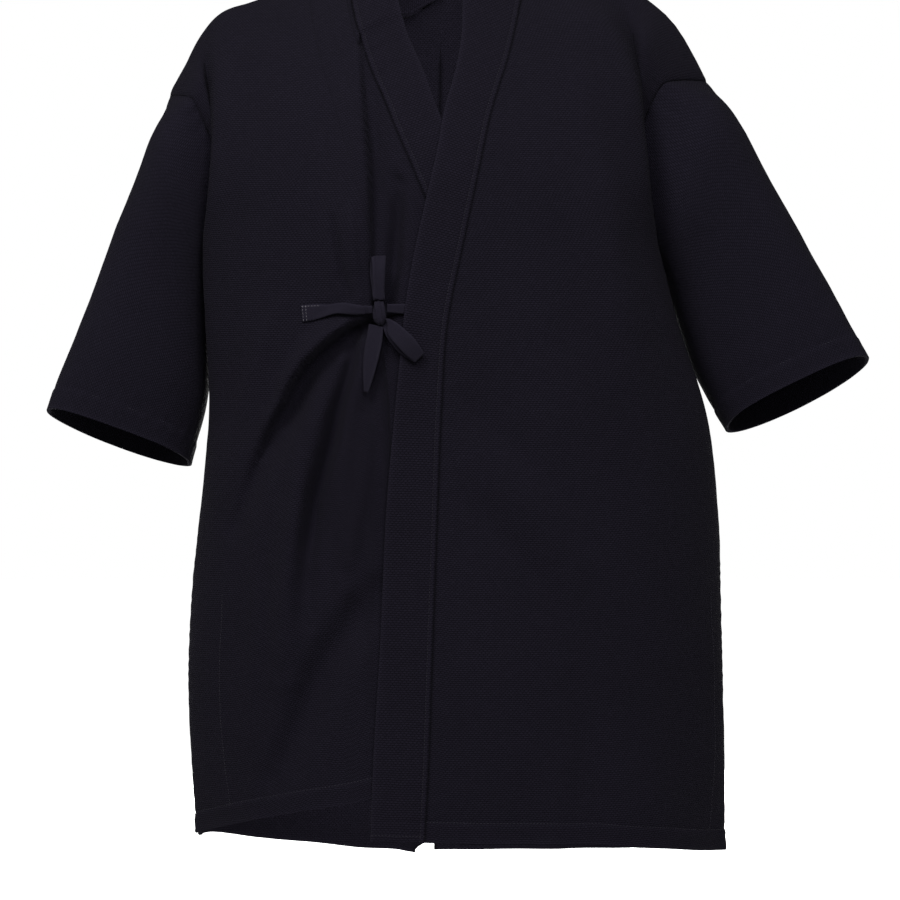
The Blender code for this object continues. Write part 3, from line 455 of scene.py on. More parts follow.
def curve_at(places: Sequence[float], values: Sequence[float], place: float) -> float:
    """The value at one place of the smooth curve through a table.

    Args:
        places: The table's key column, rising or falling.
        values: The column that is read.
        place: Where it is read.

    Returns:
        The value there, held at its end values outside the table.
    """
    if places[0] > places[-1]:
        places, values = places[::-1], values[::-1]
    slopes = smooth_slopes(places, values)
    i = min(max(bisect_right(places, place) - 1, 0), len(places) - 2)
    span = places[i + 1] - places[i]
    t = min(max((place - places[i]) / span, 0.0), 1.0)
    return (
        values[i] * (1 + 2 * t) * (1 - t) ** 2 + span * slopes[i] * t * (1 - t) ** 2
        + values[i + 1] * t * t * (3 - 2 * t) + span * slopes[i + 1] * t * t * (t - 1)
    )


def read(table: Sequence[NamedTuple], column: str, place: float, key: str = "") -> float:
    """One column of a table of rows.

    Args:
        table: The rows.
        column: The column that is read.
        place: Where it is read along the key column.
        key: The key column, which is the first one if none is given.

    Returns:
        The value of the smooth curve through the column.
    """
    key = key or table[0]._fields[0]
    return curve_at([getattr(row, key) for row in table], [getattr(row, column) for row in table], place)


def mix(a: float, b: float, t: float) -> float:
    """The value a share t of the way from a to b."""
    return a + (b - a) * t


def ease(t: float | np.ndarray) -> float | np.ndarray:
    """A smooth step from 0 to 1."""
    t = np.clip(t, 0.0, 1.0)
    return t * t * (3 - 2 * t)


def even(count: int) -> tuple[float, ...]:
    """Places of equal steps along a stretch, up to its end."""
    return tuple((i + 1) / count for i in range(count))


def dense_start(close: Sequence[float], count: int) -> tuple[float, ...]:
    """Close places at a stretch's start, and then equal steps up to its end."""
    last = close[-1]
    return (*close, *(last + (1 - last) * t for t in even(count)))


def mirrored(places: Sequence[float]) -> tuple[float, ...]:
    """The same places, counted from the stretch's other end."""
    return (*(1 - t for t in places[-2::-1]), 1.0)


def spline(
    points: Sequence[Vector], places: Sequence[Sequence[float]], corners: Sequence[int] = (),
) -> list[Vector]:
    """Points on a smooth curve through the given ones.

    Args:
        points: What the curve runs through.
        places: For each stretch, where its new points stand, ending in 1.
        corners: The numbers of the points at which the curve may turn sharply.

    Returns:
        The first point and all the new ones.
    """
    if corners:
        at = corners[0]
        rest = [corner - at for corner in corners[1:]]
        return spline(points[:at + 1], places[:at]) + spline(points[at:], places[at:], rest)[1:]
    spans = [max((b - a).length, 1e-6) for a, b in zip(points, points[1:])]
    rates = [(b - a) / span for a, b, span in zip(points, points[1:], spans)]
    slopes = [rates[0]]
    for i in range(1, len(points) - 1):
        slopes.append((rates[i - 1] * spans[i] + rates[i] * spans[i - 1]) / (spans[i - 1] + spans[i]))
    slopes.append(rates[-1])
    made = [points[0].copy()]
    for i, stretch in enumerate(places):
        leave = slopes[i] * (spans[i] * max(slopes[i].dot(rates[i]), 0.0))
        arrive = slopes[i + 1] * (spans[i] * max(slopes[i + 1].dot(rates[i]), 0.0))
        for t in stretch:
            made.append(
                points[i] * ((1 + 2 * t) * (1 - t) ** 2) + leave * (t * (1 - t) ** 2)
                + points[i + 1] * (t * t * (3 - 2 * t)) + arrive * (t * t * (t - 1))
            )
    return made


def crease_heights(x: np.ndarray, z: np.ndarray, creases: Iterable[Crease]) -> np.ndarray:
    """Sum of the folds at many places, as seen from in front.

    Args:
        x: Places across.
        z: Places up.
        creases: The folds.

    Returns:
        The outward height at each place.
    """
    total = np.zeros_like(x)
    for crease in creases:
        nearest = np.full_like(x, np.inf)
        side = np.zeros_like(x)
        along = np.zeros_like(x)
        stretches = list(zip(crease.path, crease.path[1:]))
        for i, ((ax, az), (bx, bz)) in enumerate(stretches):
            square = (bx - ax) ** 2 + (bz - az) ** 2
            held = np.clip(((x - ax) * (bx - ax) + (z - az) * (bz - az)) / square, 0.0, 1.0)
            off_x = x - (ax + (bx - ax) * held)
            off = np.hypot(off_x, z - (az + (bz - az) * held))
            closer = off < nearest
            nearest = np.where(closer, off, nearest)
            side = np.where(closer, off_x, side)
            along = np.where(closer, (i + held) / len(stretches), along)
        wider = mix(1.0, crease.spread, along)
        width = np.where(side < 0, crease.near, crease.far) * wider
        ends = np.sin(pi * np.clip(along, *FOLD_ENDS)) ** 0.5
        height = crease.height * np.cos(pi * np.minimum(nearest / width, 1.0) / 2) ** 2
        if crease.drop:
            falling = mix(crease.height, -crease.hollow, ease(nearest / crease.drop))
            past = np.clip((nearest - crease.drop) / (width - crease.drop), 0.0, 1.0)
            fading = -crease.hollow * np.cos(pi * past / 2) ** 2
            height = np.where(side < 0, height, np.where(nearest < crease.drop, falling, fading))
            ends = ends * (1 - SHARP_FADE * along ** 2)
        total += height * ends
    return total


@dataclass(frozen=True)
class Form:
    """The filled-out shape that all the panels are laid on."""

    over_stand: float = 0.0065
    fade_from_x: float = 0.110
    fade_to_x: float = 0.255
    seam_low_y: float = 0.0
    half_gap: float = 0.0002
    slit_open: float = 0.010
    slit_inward: float = 0.006
    side_bulge: float = 0.10
    back_turn: float = 0.03
    back_draw: float = 0.37
    cap_rise: float = 0.25
    valley_lean: float = 0.3

    def shoulder_z(self, x: float) -> float:
        """Height of the shoulder line, level across the neck."""
        rows = SHOULDERS[Side.LEFT if x > 0 else Side.RIGHT]
        return curve_at([abs(row.x) for row in rows], [row.z for row in rows], abs(x))

    def slanted_z(self, x: float, way: float) -> float:
        """Height of a slanted section, from the underarm (0) to the shoulder line (1)."""
        return UNDERARM_Z + (self.shoulder_z(x) - UNDERARM_Z) * read(RISES, "up", way)

    def middle_x(self, z: float) -> float:
        """Where the middle of the trunk's ring is, at a height."""
        return (read(RINGS, "right", z) + read(RINGS, "left", z)) / 2

    def stand_off(self, x: float, side: Side) -> float:
        """How far the over-front stands in front of the under-front."""
        fade = ease((x - self.fade_from_x) / (self.fade_to_x - self.fade_from_x))
        return 0.0 if side is Side.RIGHT else self.over_stand * (1 - fade)

    def trunk_depth(self, x: float, z: float, face: Face) -> float:
        """Depth of the trunk at a place across it, at or under the underarm.

        Args:
            x: Place across.
            z: Height.
            face: Front or back.

        Returns:
            The distance from the middle plane.
        """
        z = min(z, UNDERARM_Z)
        centre = self.middle_x(z)
        edge = read(RINGS, "left" if x > centre else "right", z)
        edge_depth = -read(RINGS, "fold_y", z) if face is Face.FRONT else SEAM_Y
        place = min(abs((x - centre) / (edge - centre)), 1.0)
        corner = read(RINGS, "corner", z)
        return mix(edge_depth, read(RINGS, face.value, z), (1 - place ** corner) ** (1 / corner))

    def chest_base(self, x: float, z: float, side: Side) -> Vector:
        """A point of a front before its folds, between the collar and the armpit fold.

        Args:
            x: Place across, as seen from in front.
            z: Height.
            side: Which front.

        Returns:
            The point.
        """
        if z <= UNDERARM_Z:
            depth = self.trunk_depth(x, z, Face.FRONT)
        else:
            up = (z - UNDERARM_Z) / (self.shoulder_z(x) - UNDERARM_Z)
            depth = self.trunk_depth(x, UNDERARM_Z, Face.FRONT) * read(RISES, "front", up, key="up")
        return Vector((x, -depth - self.stand_off(x, side), z))

    def chest_point(self, x: float, z: float, side: Side) -> Vector:
        """The same point with the cloth's largest folds."""
        fold = crease_heights(np.array([x]), np.array([z]), CREASES_FRONT[side])[0]
        return Vector((x, self.chest_base(x, z, side).y - fold, z))

    def back_point(self, x: float, way: float | None, z: float) -> Vector:
        """A point of the back before its folds.

        Args:
            x: Place across.
            way: The slanted section above the underarm, or None under it.
            z: Height, where there is no slanted section.

        Returns:
            The point.
        """
        if way is None:
            return Vector((x, self.trunk_depth(x, z, Face.BACK), z))
        depth = self.trunk_depth(x, UNDERARM_Z, Face.BACK) * read(RISES, "back", way)
        return Vector((x, depth, self.slanted_z(x, way)))

    def side_seam(self, z: float, side: Side, face: Face) -> Vector:
        """A point of the side seam, and under the slit's top of the front's or back's own edge.

        Args:
            z: Height.
            side: Which side of the body.
            face: Front or back.

        Returns:
            The point.
        """
        edge = read(RINGS, side.value, z)
        down = min(max((SLIT_TOP_Z - z) / (SLIT_TOP_Z - HEM_Z), 0.0), 1.0)
        y = mix(SEAM_Y, self.seam_low_y, ease((UNDERARM_Z - z) / (UNDERARM_Z - SLIT_TOP_Z)))
        apart = self.half_gap + self.slit_open * ease(down) * down
        tuck = read(RINGS, "tuck", z)
        if face is Face.FRONT:
            return Vector((edge - side.sign * (tuck + self.slit_inward * down), y - apart, z))
        return Vector((edge - side.sign * tuck, y + apart, z))

    def armhole(self, side: Side, way: float, face: Face) -> Vector:
        """A point of the armhole seam.

        Args:
            side: Which armhole.
            way: How far up, from the underarm (0) to the shoulder line (1).
            face: Front or back.

        Returns:
            The point.
        """
        shoulder = SHOULDERS[side][-1]
        top = Vector((shoulder.x, 0.0, shoulder.z))
        under = Vector((UNDERARM_X[side], SEAM_Y, UNDERARM_Z))
        forward = -read(ARMHOLE, "front", way) if face is Face.FRONT else read(ARMHOLE, "back", way)
        share = 1.0 if face is Face.FRONT else self.back_draw
        place = (top + under) / 2 + (top - under) / 2 * cos(pi * (1 - way))
        inward = read(ARMHOLE, f"{side.value}_in", way)
        drawn = Vector((-side.sign * inward, 0.0, read(ARMHOLE, f"{side.value}_up", way)))
        return place + Vector((0.0, forward, 0.0)) + drawn * share

    def armpit_guides(self, side: Side, face: Face, way: float) -> list[Vector]:
        """Guide points across the shoulder.

        Args:
            side: Which shoulder.
            face: Front or back.
            way: Which slanted section.

        Returns:
            The fold beside the armpit, the valley behind it, the cap over the arm and the seam.
        """
        outward = -1 if face is Face.FRONT else 1
        column = side.value if face is Face.FRONT else f"back_{side.value}"
        x = read(FOLDS, column, way)
        deep = read(FOLDS, f"{side.value}_deep" if face is Face.FRONT else "back_deep", way)
        if face is Face.FRONT:
            fold = self.chest_base(x, self.slanted_z(x, way), side)
        else:
            fold = self.back_point(x, way, 0.0)
        seam = self.armhole(side, way, face)
        top_fold = read(FOLDS, column, 1.0)
        top_seam = self.armhole(side, 1.0, face)
        guides = [fold]
        for place, push in ((VALLEY_PLACE, -deep), (CAP_PLACE, self.cap_rise * deep)):
            point = fold.lerp(seam, place)
            ridge = self.shoulder_z(mix(top_fold, top_seam.x, place))
            point.z += (ridge - mix(self.shoulder_z(top_fold), top_seam.z, place)) * way ** 2
            point += Vector((-side.sign * self.valley_lean * push, outward * push, 0.0))
            guides.append(point)
        guides.append(seam)
        return guides

    def side_guides(self, side: Side, face: Face, z: float) -> list[Vector]:
        """The same four guides under the arm, where they close up into the side of the trunk.

        Args:
            side: Which side of the body.
            face: Front or back.
            z: Height.

        Returns:
            The four points.
        """
        seam = self.side_seam(z, side, face)
        if face is Face.FRONT:
            fold = self.chest_base(read(RINGS, side.value, z), z, side)
        else:
            fold = self.back_point(mix(seam.x, self.middle_x(z), self.back_turn), None, z)
        round_out = self.side_bulge * abs(fold.y - seam.y)
        guides = [fold]
        for place in (VALLEY_PLACE, CAP_PLACE):
            point = fold.lerp(seam, place)
            point.x += side.sign * round_out * sin(pi * place)
            guides.append(point)
        guides.append(seam)
        return guides

    def round_neck(self, at: float, columns: str) -> Vector:
        """A point of the neck's table, from the wearer's left (0) to the wearer's right (1)."""
        rows, at = range(len(NECK)), at * (len(NECK) - 1)
        return Vector([curve_at(rows, [getattr(row, key) for row in NECK], at) for key in columns.split()])

    def half_neck(self, side: Side, part: float, columns: str) -> Vector:
        """A point of one half of the neck's table, from the shoulder (0) to the nape (1)."""
        return self.round_neck(part / 2 if side is Side.LEFT else 1 - part / 2, columns)

    def level_at(self, x: float, at: Section, hem: Sequence[Place]) -> float:
        """Height of a section at a place across it.

        Args:
            x: Place across.
            at: The section.
            hem: The hem's table.

        Returns:
            The height there.
        """
        if at.way is not None:
            return self.slanted_z(x, at.way)
        return mix(SLIT_TOP_Z, read(hem, "z", x), at.hem_part) if at.hem_part else at.z

    def front_row(self, side: Side, at: Section) -> list[Vector]:
        """Guide points of one front section.

        Args:
            side: Which front.
            at: The section.

        Returns:
            Points from the collar seam to the side or the armhole.
        """
        hem = HEM_FRONT[side]
        if at.way is not None:
            level = UNDERARM_Z * (1 - read(RISES, "up", at.way))
            outer = self.armpit_guides(side, Face.FRONT, at.way)
        else:
            level = self.level_at(0.0, at, hem)
            side_x = hem[0 if side is Side.RIGHT else -1].x
            outer = self.side_guides(side, Face.FRONT, self.level_at(side_x, at, hem))
        inner_x = read(EDGES, "over_seam" if side is Side.LEFT else "under_seam", level)
        places = [mix(inner_x, outer[0].x, part) for part in CHEST_GUIDES]
        return [self.chest_base(x, self.level_at(x, at, hem), side) for x in places] + outer

    def back_row(self, side: Side, at: Section) -> list[Vector]:
        """Guide points of one back section.

        Args:
            side: Which half of the back.
            at: The section.

        Returns:
            Points from the neckline or the centre-back seam to the side or the armhole.
        """
        if at.way is not None:
            outer = self.armpit_guides(side, Face.BACK, at.way)
            level = UNDERARM_Z * (1 - read(RISES, "up", at.way))
        else:
            side_x = HEM_BACK[0 if side is Side.RIGHT else -1].x
            outer = self.side_guides(side, Face.BACK, self.level_at(side_x, at, HEM_BACK))
            level = self.level_at(CENTRE_BACK[-1].x, at, HEM_BACK)
        if at.way is not None and at.way >= NECK_WAY:
            inner = self.half_neck(side, (1 - at.way) / (1 - NECK_WAY), "x y z")
        else:
            inner = self.back_point(read(CENTRE_BACK, "x", level, key="z"), at.way, level)
        if at.way is None or at.way <= NECK_WAY:
            down = (VENT_TOP_Z - level) / (VENT_TOP_Z - HEM_Z)
            inner.x += side.sign * (self.half_gap + VENT_HALF * ease(down))
        guides = []
        off = inner - self.back_point(inner.x, at.way, level)
        for part in CHEST_GUIDES:
            x = mix(inner.x, outer[0].x, part)
            point = self.back_point(x, at.way, self.level_at(x, at, HEM_BACK))
            guides.append(point + off * (1 - part) ** 2)
        return guides + outer

    def body_rows(self, side: Side) -> list[list[Vector]]:
        """Sections of one half of the body.

        Args:
            side: Which half.

        Returns:
            Guide points from the front hem over the shoulder to the back hem.
        """
        down = [Section(z=z) for z in RING_LEVELS[1:]] + [Section(hem_part=part) for part in HEM_STEPS]
        rows = [self.front_row(side, at) for at in down[::-1]]
        rows += [self.front_row(side, Section(way=way)) for way in FRONT_WAYS]
        rows += [self.back_row(side, Section(way=way)) for way in BACK_WAYS[1:]]
        return rows + [self.back_row(side, at) for at in down]


def unit(vectors: np.ndarray) -> np.ndarray:
    """The same vectors, each of length 1."""
    return vectors / np.maximum(np.linalg.norm(vectors, axis=-1, keepdims=True), TINY)


def rounded(part: np.ndarray) -> np.ndarray:
    """The outline of a quarter of a circle, from 0 at an edge to 1 at a part of 1 and beyond."""
    return np.sqrt(np.clip(1 - (1 - np.clip(part, 0.0, 1.0)) ** 2, 0.0, 1.0))


def soft_bump(off: np.ndarray, reach: float) -> np.ndarray:
    """A soft bump that is 1 where off is 0, and has faded at about twice its reach."""
    return np.exp(-(off / reach) ** 2)


@dataclass
class ClothGrid:
    """Points of a cloth's middle surface, in rows along it, each from one edge to the other."""

    points: np.ndarray
    outward: int = 1
    closed: bool = False

    @staticmethod
    def of(rows: Sequence[Sequence[Vector]], outward: int = 1, closed: bool = False) -> "ClothGrid":
        """A grid from rows of points."""
        return ClothGrid(np.array([[tuple(point) for point in row] for row in rows]), outward, closed)

    def normals(self) -> np.ndarray:
        """The way out of the cloth at each point."""
        across = np.gradient(self.points, axis=1)
        if self.closed:
            around = np.roll(self.points, -1, axis=1) - np.roll(self.points, 1, axis=1)
            around[:, 0] = self.points[:, 1] - self.points[:, -2]
            around[:, -1] = around[:, 0]
            across = around
        along = np.gradient(self.points, axis=0)
        return unit(np.cross(across, along) * self.outward)

    def across(self) -> np.ndarray:
        """How far each point is from its row's first one, along the cloth."""
        steps = np.linalg.norm(np.diff(self.points, axis=1), axis=2)
        return np.concatenate([np.zeros((len(steps), 1)), np.cumsum(steps, axis=1)], axis=1)

    def along(self) -> np.ndarray:
        """How far each point is from its column's first one, along the cloth."""
        steps = np.linalg.norm(np.diff(self.points, axis=0), axis=2)
        return np.concatenate([np.zeros((1, steps.shape[1])), np.cumsum(steps, axis=0)], axis=0)

    def distances(self) -> tuple[np.ndarray, np.ndarray, np.ndarray, np.ndarray]:
        """How far each point is from the first and last column, and from the first and last row."""
        inner, low = self.across(), self.along()
        return inner, inner[:, -1:] - inner, low, low[-1:] - low

    def raised(self, height: np.ndarray) -> "ClothGrid":
        """The same cloth, moved outwards by a height at each point."""
        return ClothGrid(self.points + self.normals() * height[..., None], self.outward, self.closed)

    def line(self, rows: np.ndarray, columns: np.ndarray, lift: float) -> np.ndarray:
        """Points and ways out along a line on the cloth.

        Args:
            rows: Row of each point, whole or between two rows.
            columns: Column of each point.
            lift: How far off the middle surface the line lies.

        Returns:
            An array of points, and an array of the ways out, stacked.
        """
        out = self.normals()
        i = np.clip(np.floor(rows).astype(int), 0, self.points.shape[0] - 2)
        j = np.clip(np.floor(columns).astype(int), 0, self.points.shape[1] - 2)
        u = (rows - i)[:, None]
        v = (columns - j)[:, None]
        found = []
        for values in (self.points, out):
            low = values[i, j] * (1 - v) + values[i, j + 1] * v
            high = values[i + 1, j] * (1 - v) + values[i + 1, j + 1] * v
            found.append(low * (1 - u) + high * u)
        return np.stack([found[0] + found[1] * lift, found[1]])

    def beside_edge(self, rows: np.ndarray, depth: np.ndarray | float, lift: float) -> np.ndarray:
        """A line of the cloth at a distance from its first column.

        Args:
            rows: The rows that it crosses.
            depth: Its distance, one for all the rows or one for each.
            lift: How far off the middle surface the line lies.

        Returns:
            Points and ways out, as line gives them.
        """
        inner = self.across()
        columns = np.arange(inner.shape[1], dtype=float)
        depths = np.broadcast_to(depth, rows.shape)
        at = [np.interp(value, inner[row], columns) for row, value in zip(rows, depths)]
        return self.line(rows.astype(float), np.array(at), lift)

    def beside_end(self, depth: float, lift: float, last: bool = False) -> np.ndarray:
        """A line of the cloth at a distance from its first or last row.

        Args:
            depth: Its distance.
            lift: How far off the middle surface the line lies.
            last: Whether it runs beside the last row.

        Returns:
            Points and ways out, as line gives them.
        """
        low = self.along()
        rows = np.arange(len(low), dtype=float)
        places = low[-1] - depth if last else np.full(low.shape[1], depth)
        at = [np.interp(place, low[:, column], rows) for column, place in enumerate(places)]
        return self.line(np.array(at), np.arange(low.shape[1], dtype=float), lift)

    def tree(self) -> BVHTree:
        """The surface, for finding where a line meets it."""
        rows, columns = self.points.shape[:2]
        first = (np.arange(rows - 1)[:, None] * columns + np.arange(columns - 1)).ravel()
        faces = np.stack([first, first + 1, first + columns + 1, first + columns], axis=1)
        triangles = np.concatenate([faces[:, (0, 1, 2)], faces[:, (0, 2, 3)]])
        return BVHTree.FromPolygons(self.points.reshape(-1, 3).tolist(), triangles.tolist())


def soft_noise(points: np.ndarray, size: float, octaves: int = 2) -> np.ndarray:
    """Smooth uneven heights, the same in each run.

    Args:
        points: Where they are read.
        size: Width of the largest bumps.
        octaves: How many sizes of bumps are added.

    Returns:
        Values from about -1 to 1.
    """
    flat = (points.reshape(-1, 3) / size).tolist()
    made = [noise.fractal(place, 1.0, 2.0, octaves, noise_basis="PERLIN_ORIGINAL") for place in flat]
    return np.array(made).reshape(points.shape[:-1])


class Bumps(NamedTuple):
    """Uneven heights of one size: how high, how wide, and where their noise is read."""

    height: float
    size: float
    shift: float = 0.0


class Ripples(NamedTuple):
    """Small waves along a seam: how high, how long, how far they drift, and the drift's noise."""

    height: float
    length: float
    drift: float
    size: float
    shift: float


def unevenness(points: np.ndarray, rows: Sequence[Bumps]) -> np.ndarray:
    """Uneven heights of several sizes, added up."""
    return sum(row.height * soft_noise(points + row.shift, row.size) for row in rows)


def rippled(points: np.ndarray, along: np.ndarray, row: Ripples) -> np.ndarray:
    """Waves along a seam, as if they ran over the whole cloth.

    Args:
        points: The cloth's points.
        along: How far along the seam each one is.
        row: The waves.

    Returns:
        The height at each point.
    """
    phase = along / row.length + row.drift * soft_noise(points + row.shift, row.size)
    return row.height * np.sin(2 * pi * phase)


def deselect() -> None:
    """Leaves nothing selected, so an operator acts on the new piece alone."""
    bpy.ops.object.select_all(action="DESELECT")


def make_sheet(
    name: str, grid: ClothGrid, grain: np.ndarray, thickness: float, share: np.ndarray | None = None,
    wear_and_painted_shade: np.ndarray | None = None, back_grain: tuple[int, np.ndarray] | None = None,
) -> Object:
    """A wall of cloth on a grid of points.

    Args:
        name: The piece's name.
        grid: Its middle surface.
        grain: Metric places on the flat cloth, across and along it, for each point.
        thickness: The wall at its thickest.
        share: Which part of that thickness each point has.
        wear_and_painted_shade: How worn or faded each point is, from 0 to 1; below 0, how dark the painted
            shade beside a seam is.
        back_grain: A row, and the grain that holds from it on.

    Returns:
        The piece.
    """
    rows, columns = grid.points.shape[:2]
    deselect()
    bpy.ops.mesh.primitive_grid_add(x_subdivisions=columns - 1, y_subdivisions=rows - 1, size=1.0)
    piece = bpy.context.object
    piece.name = name
    mesh = piece.data
    mesh.name = name
    start = np.empty(len(mesh.vertices) * 3)
    mesh.vertices.foreach_get("co", start)
    start = start.reshape(-1, 3)
    column = np.rint((start[:, 0] + 0.5) * (columns - 1)).astype(int)
    row = np.rint((start[:, 1] + 0.5) * (rows - 1)).astype(int)
    mesh.vertices.foreach_set("co", grid.points[row, column].ravel())
    corners = np.empty(len(mesh.loops), dtype=int)
    mesh.loops.foreach_get("vertex_index", corners)
    face_row = np.repeat(row[corners].reshape(-1, 4).min(axis=1), 4)
    places = grain[row[corners], column[corners]]
    if back_grain is not None:
        first, values = back_grain
        places = np.where((face_row >= first)[:, None], values[row[corners], column[corners]], places)
    mesh.uv_layers[0].name = "grain"
    mesh.uv_layers[0].data.foreach_set("uv", places.ravel())
    if grid.outward < 0:
        mesh.flip_normals()
    # Per point: above 0 for worn edges, below 0 for painted shade beside the seams.
    layer = mesh.attributes.new("wear_and_painted_shade", "FLOAT", "POINT")
    worn = np.zeros(len(mesh.vertices)) if wear_and_painted_shade is None else wear_and_painted_shade[row, column]
    layer.data.foreach_set("value", worn.astype(np.float32))
    group = piece.vertex_groups.new(name="wall")
    part = np.ones(len(mesh.vertices)) if share is None else share[row, column]
    levels = np.rint(np.clip(part, 0.0, 1.0) * 64) / 64
    for level in np.unique(levels):
        group.add(np.flatnonzero(levels == level).tolist(), float(level), "REPLACE")
    if grid.closed:
        weld = piece.modifiers.new("weld", "WELD")
        weld.merge_threshold = 1e-6
        bpy.ops.object.modifier_apply(modifier=weld.name)
    wall = piece.modifiers.new("wall", "SOLIDIFY")
    wall.thickness = thickness
    wall.offset = 0.0
    wall.vertex_group = "wall"
    wall.use_rim = True
    bpy.ops.object.modifier_apply(modifier=wall.name)
    piece.vertex_groups.clear()
    piece.data.shade_smooth()
    return piece


def place_piece(
    piece: Object, material: Material, node: str = "",
) -> Object:
    """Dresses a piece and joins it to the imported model.

    Args:
        piece: The piece.
        material: Its finish.
        node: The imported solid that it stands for, if it does.

    Returns:
        The piece.
    """
    piece.data.materials.clear()
    piece.data.materials.append(material)
    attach(piece, BODY)
    if node:
        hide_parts(node)
    LOG.info("%s: %d faces", piece.name, len(piece.data.polygons))
    return piece


class Graph:
    """Adds shader nodes to a tree and joins them."""

    def __init__(self, tree: NodeTree) -> None:
        """Keeps the tree."""
        self.tree = tree

    def add(self, kind: str, inputs: dict | None = None, **settings: object) -> Node:
        """A new node.

        Args:
            kind: The node's type.
            inputs: What its inputs are joined to or set to, by name or number.
            **settings: Its own settings.

        Returns:
            The node.
        """
        node = self.tree.nodes.new(kind)
        for key, value in settings.items():
            setattr(node, key, value)
        self.fill(node, inputs or {})
        return node

    def fill(self, node: Node, inputs: dict) -> None:
        """Joins a node's inputs to other sockets, or gives them values.

        Args:
            node: The node.
            inputs: What each input is joined to or set to, by name or number.
        """
        for key, value in inputs.items():
            if isinstance(value, NodeSocket):
                self.tree.links.new(value, node.inputs[key])
            else:
                node.inputs[key].default_value = value

    def math(self, operation: str, *values: object) -> NodeSocket:
        """The result of a Math node."""
        return self.add("ShaderNodeMath", dict(enumerate(values)), operation=operation).outputs[0]

    def colour_mix(self, factor: object, first: object, second: object) -> NodeSocket:
        """The result of a Mix node for colours."""
        inputs = {"Factor": factor, 6: first, 7: second}
        return self.add("ShaderNodeMix", inputs, data_type="RGBA").outputs[2]

    def zigzag(self, value: object) -> NodeSocket:
        """How far a value is from the middle between two whole numbers: 0 there, and 1 at them."""
        return self.math("ABSOLUTE", self.math("MULTIPLY_ADD", self.math("FRACT", value), 2.0, -1.0))

    def noise(self, vector: object, scale: float, detail: float, roughness: float) -> NodeSocket:
        """The value of a Noise node."""
        inputs = {"Vector": vector, "Scale": scale, "Detail": detail, "Roughness": roughness}
        return self.add("ShaderNodeTexNoise", inputs).outputs[0]


def new_group(name: str, inputs: dict[str, str], outputs: Sequence[str]) -> tuple:
    """An empty node group with its sockets.

    Args:
        name: The group's name.
        inputs: Each input's name, and whether it is a Float or a Vector.
        outputs: Name of each output, which are all values.

    Returns:
        The group, its Graph, its inputs' sockets and its output node.
    """
    tree = bpy.data.node_groups.new(name, "ShaderNodeTree")
    for label, kind in inputs.items():
        tree.interface.new_socket(label, in_out="INPUT", socket_type=f"NodeSocket{kind}")
    for label in outputs:
        tree.interface.new_socket(label, in_out="OUTPUT", socket_type="NodeSocketFloat")
    graph = Graph(tree)
    return tree, graph, graph.add("NodeGroupInput").outputs, graph.add("NodeGroupOutput")


def rice_grain_group() -> NodeTree:
    """Grains of raised thread in rows, each row shifted against the last one."""
    tree, graph, entry, leave = new_group(
        "rice_grain_weave", {"Place": "Vector", "Across": "Float", "Along": "Float", "Shift": "Float"},
        ("Height", "Grain"))
    across, along = graph.add("ShaderNodeSeparateXYZ", {0: entry["Place"]}).outputs[:2]
    row_place = graph.math("DIVIDE", along, entry["Along"])
    row = graph.math("FLOOR", row_place)
    shifted = graph.math(
        "MULTIPLY_ADD", row, entry["Shift"], graph.math("DIVIDE", across, entry["Across"]))
    side = graph.math("POWER", graph.zigzag(shifted), 3.0)
    rise = graph.math("POWER", graph.zigzag(row_place), 2.0)
    left = graph.math("SUBTRACT", graph.math("SUBTRACT", 1.0, side), rise)
    raised = graph.math("SQRT", graph.math("MAXIMUM", left, 0.0))
    key = graph.add("ShaderNodeCombineXYZ", {0: graph.math("FLOOR", shifted), 1: row}).outputs[0]
    chance = graph.add("ShaderNodeTexWhiteNoise", {"Vector": key}, noise_dimensions="2D")
    level = graph.math("MULTIPLY_ADD", chance.outputs["Value"], 0.25, 0.75)
    graph.fill(leave, {"Height": graph.math("MULTIPLY", raised, level), "Grain": level})
    return tree


def fading_group() -> NodeTree:
    """Uneven dye: broad soft patches with a fine mottle, around 1."""
    tree, graph, entry, leave = new_group(
        "uneven_dye", {"Place": "Vector", "Amount": "Float"}, ("Tone",))
    broad = graph.noise(entry["Place"], 9.0, 3.0, 0.5)
    fine = graph.noise(entry["Place"], 160.0, 2.0, 0.6)
    both = graph.math("ADD", graph.math("MULTIPLY", broad, 1.4), graph.math("MULTIPLY", fine, 0.6))
    tone = graph.math("MULTIPLY_ADD", graph.math("SUBTRACT", both, 1.0), entry["Amount"], 1.0)
    graph.fill(leave, {"Tone": tone})
    return tree


def new_material(name: str) -> tuple[Material, Graph, Node]:
    """An empty material, its Graph and its shader."""
    made = bpy.data.materials.new(name)
    made.use_nodes = True
    return made, Graph(made.node_tree), made.node_tree.nodes["Principled BSDF"]


